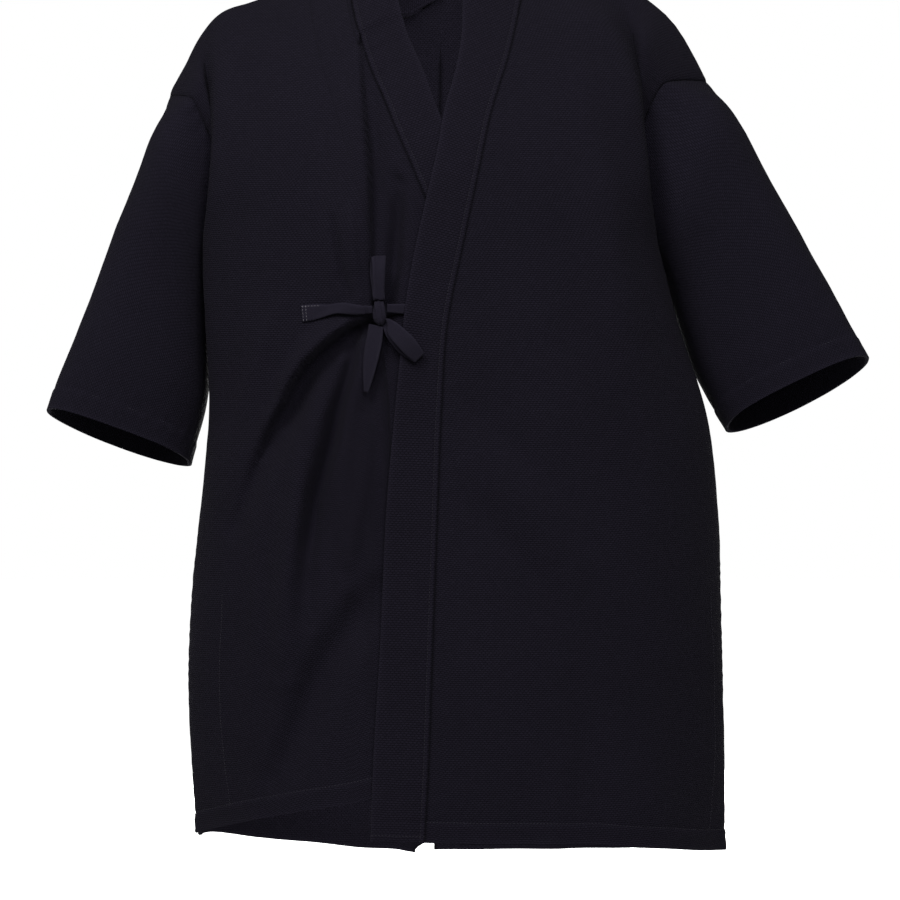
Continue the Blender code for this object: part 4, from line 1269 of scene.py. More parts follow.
@dataclass(frozen=True)
class ClothFinish:
    """How one kind of indigo cloth is woven, dyed and worn, with painted grain highlights and painted seam
    shade.
    """

    name: str
    # ground is the cloth between the grains; raised is the lighter colour of the grains' tops, a painted
    # highlight where they catch the light.
    ground: tuple[float, float, float]
    raised: tuple[float, float, float]
    relief: float
    worn: tuple[float, float, float] = (0.013, 0.0113, 0.019)
    across: float = 0.0036
    along: float = 0.0020
    shift: float = 0.5
    wobble: float = 0.0016
    fuzz: float = 0.35
    # shade is the near-black colour of the painted shade beside the seams, where their grooves would be
    # shaded.
    shade: tuple[float, float, float] = (0.0006, 0.0005, 0.0009)
    roughness: float = 0.9
    specular: float = 0.03
    sheen: float = 0.006
    dye: float = 0.22

    def material(self, weave: NodeTree, dye: NodeTree) -> Material:
        """Builds the material.

        Args:
            weave: The group that raises the grains.
            dye: The group of the uneven dye.

        Returns:
            The material.
        """
        made, graph, shader = new_material(self.name)
        grain = graph.add("ShaderNodeUVMap", uv_map="grain").outputs[0]
        drift = {0: graph.noise(grain, 60.0, 1.0, 0.5), 1: (self.wobble, self.wobble, 0.0), 2: grain}
        moved = graph.add("ShaderNodeVectorMath", drift, operation="MULTIPLY_ADD").outputs[0]
        cloth = graph.add("ShaderNodeGroup", node_tree=weave)
        graph.fill(cloth, {"Place": moved, "Across": self.across, "Along": self.along, "Shift": self.shift})
        threads = graph.noise(grain, 1900.0, 2.0, 0.7)
        height = graph.math("MULTIPLY_ADD", threads, self.fuzz, cloth.outputs["Height"])
        place = graph.add("ShaderNodeTexCoord").outputs["Object"]
        tone = graph.add("ShaderNodeGroup", node_tree=dye)
        graph.fill(tone, {"Place": place, "Amount": self.dye})
        # Painted highlight: by its height and its random tone, each grain's top is mixed towards the
        # lighter raised colour.
        light = graph.math("MULTIPLY", cloth.outputs["Height"], cloth.outputs["Grain"])
        colour = graph.colour_mix(light, (*self.ground, 1.0), (*self.raised, 1.0))
        # Above 0 the attribute mixes in the worn colour of rubbed edges; below 0 it mixes in near-black
        # painted shade beside the seams.
        wear_and_painted_shade = graph.add("ShaderNodeAttribute", attribute_name="wear_and_painted_shade").outputs["Fac"]
        colour = graph.colour_mix(graph.math("MAXIMUM", wear_and_painted_shade, 0.0), colour, (*self.worn, 1.0))
        shaded = graph.math("MAXIMUM", graph.math("MULTIPLY", wear_and_painted_shade, -1.0), 0.0)
        colour = graph.colour_mix(shaded, colour, (*self.shade, 1.0))
        toned = {0: colour, "Scale": tone.outputs["Tone"]}
        bump = {"Strength": 1.0, "Distance": self.relief, "Height": height}
        graph.fill(shader, {
            "Base Color": graph.add("ShaderNodeVectorMath", toned, operation="SCALE").outputs[0],
            "Normal": graph.add("ShaderNodeBump", bump).outputs[0],
            "Roughness": self.roughness,
            "Specular IOR Level": self.specular,
            "Sheen Weight": self.sheen,
            "Sheen Roughness": 0.5,
        })
        return made


@dataclass(frozen=True)
class ThreadFinish:
    """Sewing thread, twisted and slightly shiny."""

    name: str
    colour: tuple[float, float, float]
    roughness: float = 0.6
    specular: float = 0.2
    darker: float = 0.6

    def material(self) -> Material:
        """The thread's material, with a fine twist."""
        made, graph, shader = new_material(self.name)
        twist = graph.noise(graph.add("ShaderNodeTexCoord").outputs["Object"], 2500.0, 1.0, 0.5)
        dark = tuple(part * self.darker for part in self.colour)
        colour = graph.colour_mix(twist, (*dark, 1.0), (*self.colour, 1.0))
        graph.fill(shader, {
            "Base Color": colour, "Roughness": self.roughness, "Specular IOR Level": self.specular})
        return made


# The second colour of each finish is the painted highlight on its raised grains.
INDIGO_BODY = ClothFinish(
    "indigo_body", (0.0049, 0.0042, 0.0073), (0.0089, 0.0077, 0.0131), relief=0.0007)
INDIGO_SLEEVE = ClothFinish(
    "indigo_sleeve", (0.0052, 0.0045, 0.0078), (0.0092, 0.0080, 0.0137), relief=0.0006)
INDIGO_BAND = ClothFinish(
    "indigo_band", (0.0048, 0.0041, 0.0071), (0.0088, 0.0075, 0.0129), relief=0.0007,
    across=0.0038, along=0.0022)
INDIGO_TAPE = ClothFinish(
    "indigo_tape", (0.0075, 0.0065, 0.0110), (0.0132, 0.0116, 0.0188), relief=0.0002,
    worn=(0.018, 0.016, 0.026), across=0.0012, along=0.0011)
INDIGO_THREAD = ThreadFinish("indigo_thread", (0.0100, 0.0087, 0.0148))
PALE_THREAD = ThreadFinish("pale_thread", (0.16, 0.15, 0.17))


def path_points(at: np.ndarray, far: np.ndarray, places: np.ndarray) -> np.ndarray:
    """Points of a path.

    Args:
        at: How far along it they are.
        far: How far along it each of its own points is.
        places: Its own points.

    Returns:
        A row for each place.
    """
    return np.stack([np.interp(at, far, places[:, axis]) for axis in range(3)], axis=1)


@dataclass
class Stitching:
    """Machine stitches along seams, each a short rounded length of thread."""

    name: str
    spacing: float = 0.0032
    length: float = 0.0024
    radius: float = 0.00026
    nearby: float = 0.0008
    lines: list[np.ndarray] = field(default_factory=list)

    def stitch(self) -> tuple[np.ndarray, np.ndarray]:
        """Points and faces of one stitch, shaped from a ball."""
        deselect()
        bpy.ops.mesh.primitive_uv_sphere_add(segments=6, ring_count=4, radius=1.0)
        ball = bpy.context.object
        points = np.array([tuple(vertex.co) for vertex in ball.data.vertices])
        ball.data.calc_loop_triangles()
        faces = np.array([tuple(triangle.vertices) for triangle in ball.data.loop_triangles])
        bpy.data.objects.remove(ball, do_unlink=True)
        return points * (self.radius, self.radius, self.length / 2), faces

    def build(self) -> Object:
        """Lays the stitches along all the lines, as one piece."""
        shape, faces = self.stitch()
        points, triangles = [], []
        for places, out in self.lines:
            steps = np.linalg.norm(np.diff(places, axis=0), axis=1)
            far = np.concatenate([[0.0], np.cumsum(steps)])
            count = max(int(far[-1] / self.spacing), 1)
            at = (np.arange(count) + 0.5) * far[-1] / count
            middle = path_points(at, far, places)
            before, after = (path_points(at + step, far, places) for step in (-self.nearby, self.nearby))
            ahead = unit(after - before)
            aside = unit(np.cross(ahead, path_points(at, far, out)))
            axes = np.stack([aside, np.cross(aside, ahead), ahead], axis=1)
            placed = np.einsum("pk,nkd->npd", shape, axes) + middle[:, None, :]
            first = sum(len(part) for part in points)
            points.append(placed.reshape(-1, 3))
            offsets = first + np.arange(count)[:, None, None] * len(shape)
            triangles.append((faces[None] + offsets).reshape(-1, 3))
        mesh = bpy.data.meshes.new(self.name)
        mesh.from_pydata(np.concatenate(points).tolist(), [], np.concatenate(triangles).tolist())
        mesh.validate()
        mesh.shade_smooth()
        piece = bpy.data.objects.new(self.name, mesh)
        bpy.context.scene.collection.objects.link(piece)
        return piece


@dataclass
class BodyHalf:
    """One half of the body, cut in one piece from the front hem over the shoulder to the back hem."""

    side: Side
    form: Form
    cloth: float = 0.0022
    hem_cloth: float = 0.0034
    hem_depth: float = 0.020
    dip: float = 0.0013
    dip_reach: float = 0.0024
    sink: float = 0.00045
    sink_reach: float = 0.0016
    stand: float = 0.0003
    wave: float = 0.0014
    curl: float = 0.012
    droop: float = 0.0030
    edge_wear: float = 0.55
    edge_reach: float = 0.0022
    seam_shade: float = 0.75
    armhole_shade: float = 0.3
    seam_overlap: float = 0.0006
    vent_stitch: float = 0.008
    uneven: tuple[Bumps, ...] = (Bumps(0.0011, 0.10), Bumps(0.0004, 0.028, 3.1))
    puckers: Ripples = Ripples(0.00035, 0.0135, 1.3, 0.05, 7.7)
    ripples: Ripples = Ripples(0.0003, 0.017, 1.1, 0.06, 5.2)
    flat: tuple[float, float] = (0.36, 1.76)
    area: float = 0.50
    grid: ClothGrid = field(init=False)
    laid: ClothGrid = field(init=False)
    shoulder: int = field(init=False)
    nape: int = field(init=False)
    fold: int = field(init=False)
    underarms: tuple[int, int] = field(init=False)

    def __post_init__(self) -> None:
        """Lays out the panel's points, folds and hangs the cloth, and closes the centre-back seam."""
        points = self.lay_out()
        self.crease(points)
        self.fit_neck(points)
        self.hang(points)
        self.grid = ClothGrid(points, self.side.sign)
        self.grid = self.grid.raised(self.relief())
        seam = points[self.nape:, 0]
        sewn = self.seam_overlap * ease((seam[:, 2] - VENT_TOP_Z) / 0.01)
        self.grid.points[self.nape:, 0, 0] = seam[:, 0] - self.side.sign * sewn

    def lay_out(self) -> np.ndarray:
        """The panel's points before its folds, in rows from the front hem to the back hem."""
        edge = dense_start(EDGE_STEPS, 14)
        across = (edge, *(even(count) for count in COLUMNS[self.side]), even(7), even(7), SEAM_STEPS)
        hem = dense_start(HEM_TURN_STEPS, 11)
        front = (hem, *(even(count) for count in FRONT_ROWS[self.side]))
        back = (*(even(count) for count in BACK_ROWS), mirrored(hem))
        counts = front + back
        rows = [spline(row, across) for row in self.form.body_rows(self.side)]
        columns = [spline(list(column), counts) for column in zip(*rows)]
        top = len(front)
        under = (top - len(FRONT_WAYS) + 1, top + len(BACK_WAYS) - 1)
        nape = top + BACK_WAYS.index(NECK_WAY)
        columns[0] = spline([row[0] for row in rows], counts, corners=(nape,))
        fold = self.fold = sum(len(stretch) for stretch in across[:len(CHEST_GUIDES)])
        for i in range(fold + 1, len(columns)):
            columns[i] = spline([row[i] for row in rows], counts, corners=under)
        self.shoulder = sum(len(stretch) for stretch in front)
        self.nape = sum(len(stretch) for stretch in counts[:nape])
        self.underarms = tuple(sum(len(stretch) for stretch in counts[:at]) for at in under)
        return np.array([[tuple(point) for point in column] for column in columns]).transpose(1, 0, 2)

    def crease(self, points: np.ndarray) -> None:
        """Presses the folds into the cloth, less and less towards the side seam.

        Args:
            points: The panel's points, which are moved.
        """
        last = points.shape[1] - 1
        share = 1 - ease((np.arange(last + 1) - self.fold) / (last - self.fold))
        in_front = (np.arange(len(points)) < self.shoulder)[:, None]
        forward, behind, sharp = (
            crease_heights(points[..., 0], points[..., 2], creases) * share
            for creases in (CREASES_FRONT[self.side], CREASES_BACK, SMALL_CREASES[self.side])
        )
        points[..., 1] += np.where(in_front, -forward, behind)
        self.laid = ClothGrid(points.copy(), self.side.sign)
        points[..., 1] -= np.where(in_front, sharp, 0.0)

    def fit_neck(self, points: np.ndarray) -> None:
        """Draws the cloth beside the back of the neck onto the neckline's own curve.

        Args:
            points: The panel's points, which are moved.
        """
        inner = ClothGrid(points).across()
        steps = self.nape - self.shoulder
        for step in range(1, steps):
            place = self.form.half_neck(self.side, step / steps, "x y z")
            row = self.shoulder + step
            near = 1 - ease(inner[row] / 0.05)
            points[row] += (np.array(place) - points[row, 0]) * near[:, None]

    def hang(self, points: np.ndarray) -> None:
        """Lets the hems wave a little, and the corner beside the vent hang and curl on one half.

        Args:
            points: The panel's points, which are moved.
        """
        grid = ClothGrid(points, self.side.sign)
        low = grid.along()
        high = low[-1:] - low
        level = points.copy()
        level[..., 1:] = 0.0
        hem = np.minimum(low, high)
        points[..., 2] += self.wave * soft_noise(level + 1.7, 0.055, 1) * np.exp(-hem / 0.05)
        if self.side is Side.RIGHT:
            inner = grid.across()
            turned = ease((high - 0.002) / 0.010) * (1 - ease((high - 0.03) / 0.08))
            points[..., 0] += self.curl * turned * soft_bump(inner, 0.022)
            points[..., 2] -= self.droop * soft_bump(inner, 0.014) * np.exp(-high / 0.016)

    def relief(self) -> np.ndarray:
        """Small heights: seams that dip and pucker, hems that stand, and uneven cloth."""
        points = self.grid.points
        inner, outer, low, high = self.grid.distances()
        hem = np.minimum(low, high)
        edges = np.minimum(inner, outer)
        uneven = unevenness(points, self.uneven) * ease(edges / 0.02)
        dips = -self.dip * soft_bump(edges, self.dip_reach)
        puckers = rippled(points, low, self.puckers) * soft_bump(edges - 0.006, 0.007)
        stitched = -self.sink * soft_bump(hem - self.hem_depth, self.sink_reach)
        turned = self.stand * ease(hem / 0.003) * (1 - ease((hem - 0.017) / 0.003))
        ripples = rippled(points, inner, self.ripples) * soft_bump(hem - self.hem_depth, 0.010)
        return uneven + dips + puckers + stitched + turned + ripples

    def grains(self) -> tuple[np.ndarray, np.ndarray]:
        """Metric places on the flat cloth, for the front and for the back."""
        across = self.grid.across() - self.grid.across()[:, self.fold:self.fold + 1]
        along = self.grid.along()
        front, back = self.underarms
        return tuple(
            np.stack([across, sign * (along - along[at:at + 1])], axis=2)
            for at, sign in ((front, 1), (back, -1))
        )

    def side_line(self, face: Face) -> np.ndarray:
        """The stitches of the facing beside the slit, down to the hem's stitches.

        Args:
            face: Front or back.

        Returns:
            Points and ways out, as the grid's line gives them.
        """
        inner, _, low, high = self.grid.distances()
        z = self.grid.points[:, -1, 2]
        rows = np.arange(len(z))
        own = rows < self.shoulder if face is Face.FRONT else rows > self.shoulder
        hem = (low if face is Face.FRONT else high)[:, -1]
        rows = rows[own & (z < SLIT_TOP_Z + 0.012) & (hem > self.hem_depth)]
        return self.grid.beside_edge(rows, inner[rows, -1] - FACINGS[self.side], self.cloth * STITCH_LIFT)

    def vent_line(self) -> np.ndarray:
        """The stitches beside the vent at the back, down to the hem's edge."""
        high = self.grid.distances()[3]
        z = self.grid.points[:, 0, 2]
        rows = np.arange(len(z))
        rows = rows[(rows > self.nape) & (z < VENT_TOP_Z + 0.01) & (high[:, 0] > 0.004)]
        return self.grid.beside_edge(rows, self.vent_stitch, self.cloth * STITCH_LIFT)

    def build(self, cloth: Material, thread: Material) -> Object:
        """Makes the panel and its stitches.

        Args:
            cloth: The panel's finish.
            thread: The stitches' finish.

        Returns:
            The panel.
        """
        inner, outer, low, high = self.grid.distances()
        hem = np.minimum(low, high)
        thick = 1 - ease((hem - self.hem_depth + 0.004) / 0.006)
        share = mix(self.cloth / self.hem_cloth, 1.0, thick)
        slit = ease((SLIT_TOP_Z - self.grid.points[:, -1, 2]) / 0.02)[:, None]
        free = np.exp(-hem / self.edge_reach) + slit * np.exp(-outer / self.edge_reach)
        # Painted shade: the cloth is darkened beside the front edge, the neckline and the centre back, and
        # along the armhole and side seam above the slit, where shade falls into the seams' grooves. The
        # free edges are rubbed lighter.
        sewn = soft_bump(inner, 0.0020) + self.armhole_shade * (1 - slit) * soft_bump(outer, 0.0016)
        wear_and_painted_shade = np.clip(self.edge_wear * free, 0.0, 0.6) - self.seam_shade * np.clip(sewn, 0.0, 1.0)
        front, back = self.grains()
        name = f"body_{self.side.value}"
        piece = make_sheet(
            f"{name}_cloth", self.grid, front, self.hem_cloth, share, wear_and_painted_shade, (self.shoulder, back))
        place_piece(piece, cloth, name)
        lift = self.cloth * STITCH_LIFT
        lines = []
        for face in Face:
            lines += [self.grid.beside_end(self.hem_depth, lift, face is Face.BACK), self.side_line(face)]
        lines.append(self.vent_line())
        stitches = place_piece(Stitching(f"{name}_stitches", lines=lines).build(), thread)
        return piece


def room_at_seam(
    rows: Sequence[tuple[Vector, Vector]], i: int, away: Vector, first: float, second: float, gap: float,
) -> Vector:
    """Where a wall starts, off the edge of another one.

    Args:
        rows: Each point of the first wall's edge, and the one beside it in that wall.
        i: Which edge point.
        away: The way that the second wall goes.
        first: Thickness of the first wall.
        second: Thickness of the second wall.
        gap: Room between the two.

    Returns:
        The step from the edge point to the second wall's first point.
    """
    edge, inside = rows[i]
    seam = (rows[min(i + 1, len(rows) - 1)][0] - rows[max(i - 1, 0)][0]).normalized()
    outward = edge - inside
    outward = (outward - seam * outward.dot(seam)).normalized()
    away = (away - seam * away.dot(seam)).normalized()
    along = outward.dot(away)
    aside = away - outward * along
    across = aside.length
    off = first / 2 + gap + second / 2 * abs(along)
    if along <= 0 and across > 0:
        return aside * (off / across)
    beside = (gap + second / 2 * across) / max(along, 0.01)
    return away * min(beside, off / max(across, 0.01), 0.006)


@dataclass
class BackSeam:
    """The felled seam inside the centre back, from under the neck opening to the vent."""

    left: BodyHalf
    right: BodyHalf
    width: float = 0.013
    cloth: float = 0.0016
    body_cloth: float = 0.0022
    clear: float = 0.0006
    top_z: float = -0.140

    def build(self, cloth: Material, thread: Material) -> Object:
        """Makes the strip and its two rows of stitches.

        Args:
            cloth: The strip's finish.
            thread: The stitches' finish.

        Returns:
            The strip.
        """
        z = self.left.grid.points[:, 0, 2]
        rows = np.arange(len(z))
        rows = rows[(rows > self.left.nape) & (z < self.top_z) & (z > VENT_TOP_Z + 0.012)]
        inside = -(self.body_cloth + self.cloth) / 2 - self.clear
        offs = np.linspace(-0.5, 0.5, 9) * self.width
        lines = []
        for off in offs:
            half = self.left if off > 0 else self.right
            own = rows + half.nape - self.left.nape
            lines.append(half.grid.beside_edge(own, abs(off), inside)[0])
        middle = len(offs) // 2
        lines[middle] = (lines[middle - 1] + lines[middle + 1]) / 2
        grid = ClothGrid(np.stack(lines, axis=1), 1)
        grain = np.stack([grid.across(), grid.along()], axis=2)
        piece = make_sheet("back_seam_strip", grid, grain, self.cloth)
        place_piece(piece, cloth)
        level = np.arange(len(rows), dtype=float)
        lines = [
            grid.line(level, np.full(len(rows), column), -self.cloth * TAPE_STITCH_LIFT)
            for column in (0.6, len(offs) - 1.6)
        ]
        stitches = place_piece(Stitching("back_seam_stitches", lines=lines).build(), thread)
        length = float(grid.along()[-1].mean())
        return piece


@dataclass
class Sleeve:
    """A short wide sleeve, sewn round the armhole and turned up at the cuff."""

    body: BodyHalf
    cloth: float = 0.0022
    hem_cloth: float = 0.0038
    hem_depth: float = 0.022
    gap: float = -0.0004
    clear: float = 0.0025
    dip: float = 0.0003
    dip_reach: float = 0.0026
    sink: float = 0.00045
    sink_reach: float = 0.0016
    edge_wear: float = 0.55
    edge_reach: float = 0.0022
    seam_shade: float = 0.2
    steepest: float = 0.5
    corner: float = 2.6
    uneven: tuple[Bumps, ...] = (Bumps(0.0014, 0.09), Bumps(0.0004, 0.03, 2.3))
    ripples: Ripples = Ripples(0.0003, 0.016, 1.0, 0.05, 4.4)
    flat: tuple[float, float] = (0.44, 0.28)
    area: float = 0.108
    grid: ClothGrid = field(init=False)

    def __post_init__(self) -> None:
        """Lays out the sleeve's points."""
        side = self.body.side
        trunk = self.body.grid.tree()
        pairs, turns = self.armhole_edge()
        rings = []
        for row in SLEEVES[side]:
            outer = Vector((row.outer_x, 0.0, row.outer_z))
            inner = Vector((row.inner_x, row.inner_y, row.inner_z))
            ring = []
            for turn in turns:
                across, deep = self.oval(turn)
                point = (outer + inner) / 2 + (outer - inner) / 2 * across
                ring.append(point + Vector((0.0, -row.half_depth * deep, row.lift * deep)))
            rings.append([self.outside_trunk(point, trunk) for point in ring])
        start = [
            pair[0] + room_at_seam(pairs, i, near - pair[0], self.cloth, self.cloth, self.gap)
            for i, (pair, near) in enumerate(zip(pairs, rings[0]))
        ]
        cuff = mirrored(dense_start(CUFF_TURN_STEPS, 22))
        places = (dense_start((0.05, 0.12, 0.22), 7), even(22), even(26), cuff)
        lines = [spline(list(line), places) for line in zip(start, *rings)]
        made = [list(row) for row in zip(*lines)]
        made = made[:1] + [[self.outside_trunk(point, trunk) for point in ring] for ring in made[1:]]
        rows = [ring + [ring[0].copy()] for ring in made]
        self.grid = ClothGrid.of(rows, side.sign, closed=True)
        self.grid = self.grid.raised(self.relief())

    def oval(self, turn: float) -> tuple[float, float]:
        """A place on an oval that is round at the back and squarer in front: across and forward."""
        power = 2 / self.corner if sin(turn) > 0 else 1.0
        return copysign(abs(cos(turn)) ** power, cos(turn)), copysign(abs(sin(turn)) ** power, sin(turn))

    def armhole_edge(self) -> tuple[list[tuple[Vector, Vector]], list[float]]:
        """The body's edge round the armhole, from the shoulder line round the front and up the back.

        Returns:
            Each edge point with the one beside it in the cloth, and each point's turn.
        """
        points = self.body.grid.points
        top = self.body.shoulder
        under_front, under_back = self.body.underarms
        rows = list(range(top, under_front - 1, -1)) + list(range(under_back - 1, top, -1))
        pairs = [(Vector(points[row, -1]), Vector(points[row, -2])) for row in rows]
        pairs[top - under_front] = (Vector(points[under_front, -1]), Vector(points[under_front - 1, -1]))
        turns = [pi * i / (top - under_front) for i in range(top - under_front)]
        turns += [pi + pi * i / (under_back - top) for i in range(under_back - top)]
        return pairs, turns

    def outside_trunk(self, point: Vector, trunk: BVHTree) -> Vector:
        """The same point, or one beside the trunk's cloth where it would be in it.

        Args:
            point: The point.
            trunk: The trunk's cloth.

        Returns:
            The point, clear of the cloth.
        """
        sign = self.body.side.sign
        hit, out = trunk.ray_cast(Vector((sign, point.y, point.z)), Vector((-sign, 0.0, 0.0)))[:2]
        if hit is None:
            return point
        clear = self.clear / max(abs(out.x), self.steepest)
        return Vector((sign * max(sign * point.x, sign * hit.x + clear), point.y, point.z))

    def relief(self) -> np.ndarray:
        """Small heights: the armhole's seam, the turned cuff and soft folds along the arm."""
        points = self.grid.points
        around, _, far, cuff = self.grid.distances()
        uneven = unevenness(points, self.uneven) * ease(far / 0.03)
        dips = -self.dip * soft_bump(far, self.dip_reach)
        stitched = -self.sink * soft_bump(cuff - self.hem_depth, self.sink_reach)
        beside = soft_bump(cuff - self.hem_depth, 0.010) + soft_bump(far - 0.007, 0.008)
        height = uneven + dips + stitched + rippled(points, around, self.ripples) * beside
        height[:, -1] = height[:, 0]
        return height

    def build(self, cloth: Material, thread: Material) -> Object:
        """Makes the sleeve and its cuff's stitches.

        Args:
            cloth: The sleeve's finish.
            thread: The stitches' finish.

        Returns:
            The sleeve.
        """
        around, _, far, cuff = self.grid.distances()
        thick = 1 - ease((cuff - self.hem_depth + 0.001) / 0.002)
        share = mix(self.cloth / self.hem_cloth, 1.0, thick)
        # The cuff's free edge is rubbed lighter; painted shade darkens the cloth beside the armhole seam.
        wear_and_painted_shade = self.edge_wear * np.exp(-cuff / self.edge_reach) - self.seam_shade * soft_bump(far, 0.0020)
        mean = np.broadcast_to(far.mean(axis=1, keepdims=True), far.shape)
        around = around / around[:, -1:] * around[:, -1].mean()
        grain = np.stack([mean, around], axis=2)
        name = f"sleeve_{self.body.side.value}"
        piece = make_sheet(f"{name}_cloth", self.grid, grain, self.hem_cloth, share, wear_and_painted_shade)
        place_piece(piece, cloth, name)
        lines = [self.grid.beside_end(self.hem_depth, self.cloth * STITCH_LIFT, last=True)]
        stitches = place_piece(Stitching(f"{name}_stitches", lines=lines).build(), thread)
        return piece


@dataclass
class CollarBand:
    """The folded band down both fronts and round the neck."""

    left: BodyHalf
    right: BodyHalf
    form: Form
    cloth: float = 0.0042
    body_cloth: float = 0.0022
    stand: float = 0.0012
    forward: float = 0.008
    pit_z: float = -0.030
    turn_z: float = -0.100
    gap: float = -0.0005
    topstitch: float = 0.005
    end_stitch: float = 0.006
    sink: float = 0.00035
    sink_reach: float = 0.0015
    uneven: tuple[Bumps, ...] = (Bumps(0.0005, 0.05, 9.0),)
    puckers: Ripples = Ripples(0.00022, 0.012, 1.2, 0.05, 6.1)
    flat: tuple[float, float] = (0.047, 2.10)
    area: float = 0.094
    grid: ClothGrid = field(init=False)

    def __post_init__(self) -> None:
        """Lays out the band's points, from the over-front's hem round to the under-front's."""
        ends = self.seam_to_edge(self.left) + self.seam_to_edge(self.right)
        rows = [[start.lerp(end, t) for t in BAND_STEPS] for start, end in ends]
        self.grid = ClothGrid.of(rows, -1)
        self.grid = self.grid.raised(self.relief())

    def front_edge(self, start: Vector, side: Side) -> Vector:
        """A point of the band's free edge on the chest.

        Args:
            start: The point of the front's edge that it belongs to.
            side: Which front.

        Returns:
            The point.
        """
        height = start.z + read(EDGES, "rise", start.z)
        x = read(EDGES, "over_free" if side is Side.LEFT else "under_free", height)
        end = self.form.chest_point(x, min(height, self.pit_z), side)
        near_neck = ease((start.z - self.turn_z) / (self.pit_z - self.turn_z))
        return Vector((x, mix(end.y - self.stand, start.y - self.forward, near_neck), height))

    def seam_to_edge(self, half: BodyHalf) -> list[tuple[Vector, Vector]]:
        """Where the band starts at one half's edge, and its free edge, in the band's order.

        Args:
            half: The half of the body.

        Returns:
            Both points for each row of the band.
        """
        points = half.grid.points
        steps = half.nape - half.shoulder
        edges = [(Vector(points[row, 0]), Vector(points[row, 1])) for row in range(half.nape + 1)]
        ends = [self.front_edge(start, half.side) for start, _ in edges[:half.shoulder]]
        ends += [
            self.form.half_neck(half.side, step / steps, "free_x free_y free_z")
            for step in range(steps + 1)
        ]
        if half.side is Side.RIGHT:
            edges, ends = edges[-2::-1], ends[-2::-1]
        moves = [
            room_at_seam(edges, i, end - edges[i][0], self.body_cloth, self.cloth, self.gap)
            for i, end in enumerate(ends)
        ]
        if half.side is Side.LEFT:
            moves[-1] = moves[-2]
        return [(edge[0] + move, end) for edge, move, end in zip(edges, moves, ends)]

    def relief(self) -> np.ndarray:
        """Small heights: the seam's dip, the topstitched groove and the band's own unevenness."""
        points = self.grid.points
        inner, _, far, _ = self.grid.distances()
        groove = -self.sink * soft_bump(inner - self.topstitch, self.sink_reach)
        puckers = rippled(points, far, self.puckers) * soft_bump(inner - 0.004, 0.006)
        return groove + puckers + unevenness(points, self.uneven) * ease(inner / 0.01)

    def build(self, cloth: Material, thread: Material) -> Object:
        """Makes the band and its stitches.

        Args:
            cloth: The band's finish.
            thread: The stitches' finish.

        Returns:
            The band.
        """
        inner, outer, far, back = self.grid.distances()
        ends = np.minimum(far, back)
        share = mix(0.22, 1.0, rounded(outer / 0.0024)) * mix(0.55, 1.0, ease(inner / 0.003))
        share = share * mix(0.6, 1.0, ease(ends / 0.003))
        wear_and_painted_shade = np.clip(0.5 * np.exp(-outer / 0.002) + 0.4 * np.exp(-ends / 0.002), 0.0, 0.6)
        # A lighter stripe between the seam and the topstitch.
        wear_and_painted_shade += 0.22 * ease((inner - 0.0012) / 0.001) * (1 - ease((inner - 0.0042) / 0.0008))
        # Painted shade along the seam and in the topstitch's groove.
        wear_and_painted_shade -= 0.5 * soft_bump(inner, 0.0012) + 0.25 * soft_bump(inner - self.topstitch, 0.0007)
        mean = np.broadcast_to(far.mean(axis=1, keepdims=True), far.shape)
        grain = np.stack([inner, mean], axis=2)
        piece = make_sheet("collar_band_cloth", self.grid, grain, self.cloth, share, wear_and_painted_shade)
        place_piece(piece, cloth, "collar_band")
        lift = self.cloth * TAPE_STITCH_LIFT
        lines = [self.grid.beside_edge(np.arange(len(far)), self.topstitch, lift)]
        lines += [self.grid.beside_end(self.end_stitch, lift, last) for last in (False, True)]
        stitches = place_piece(Stitching("collar_band_stitches", lines=lines).build(), thread)
        return piece


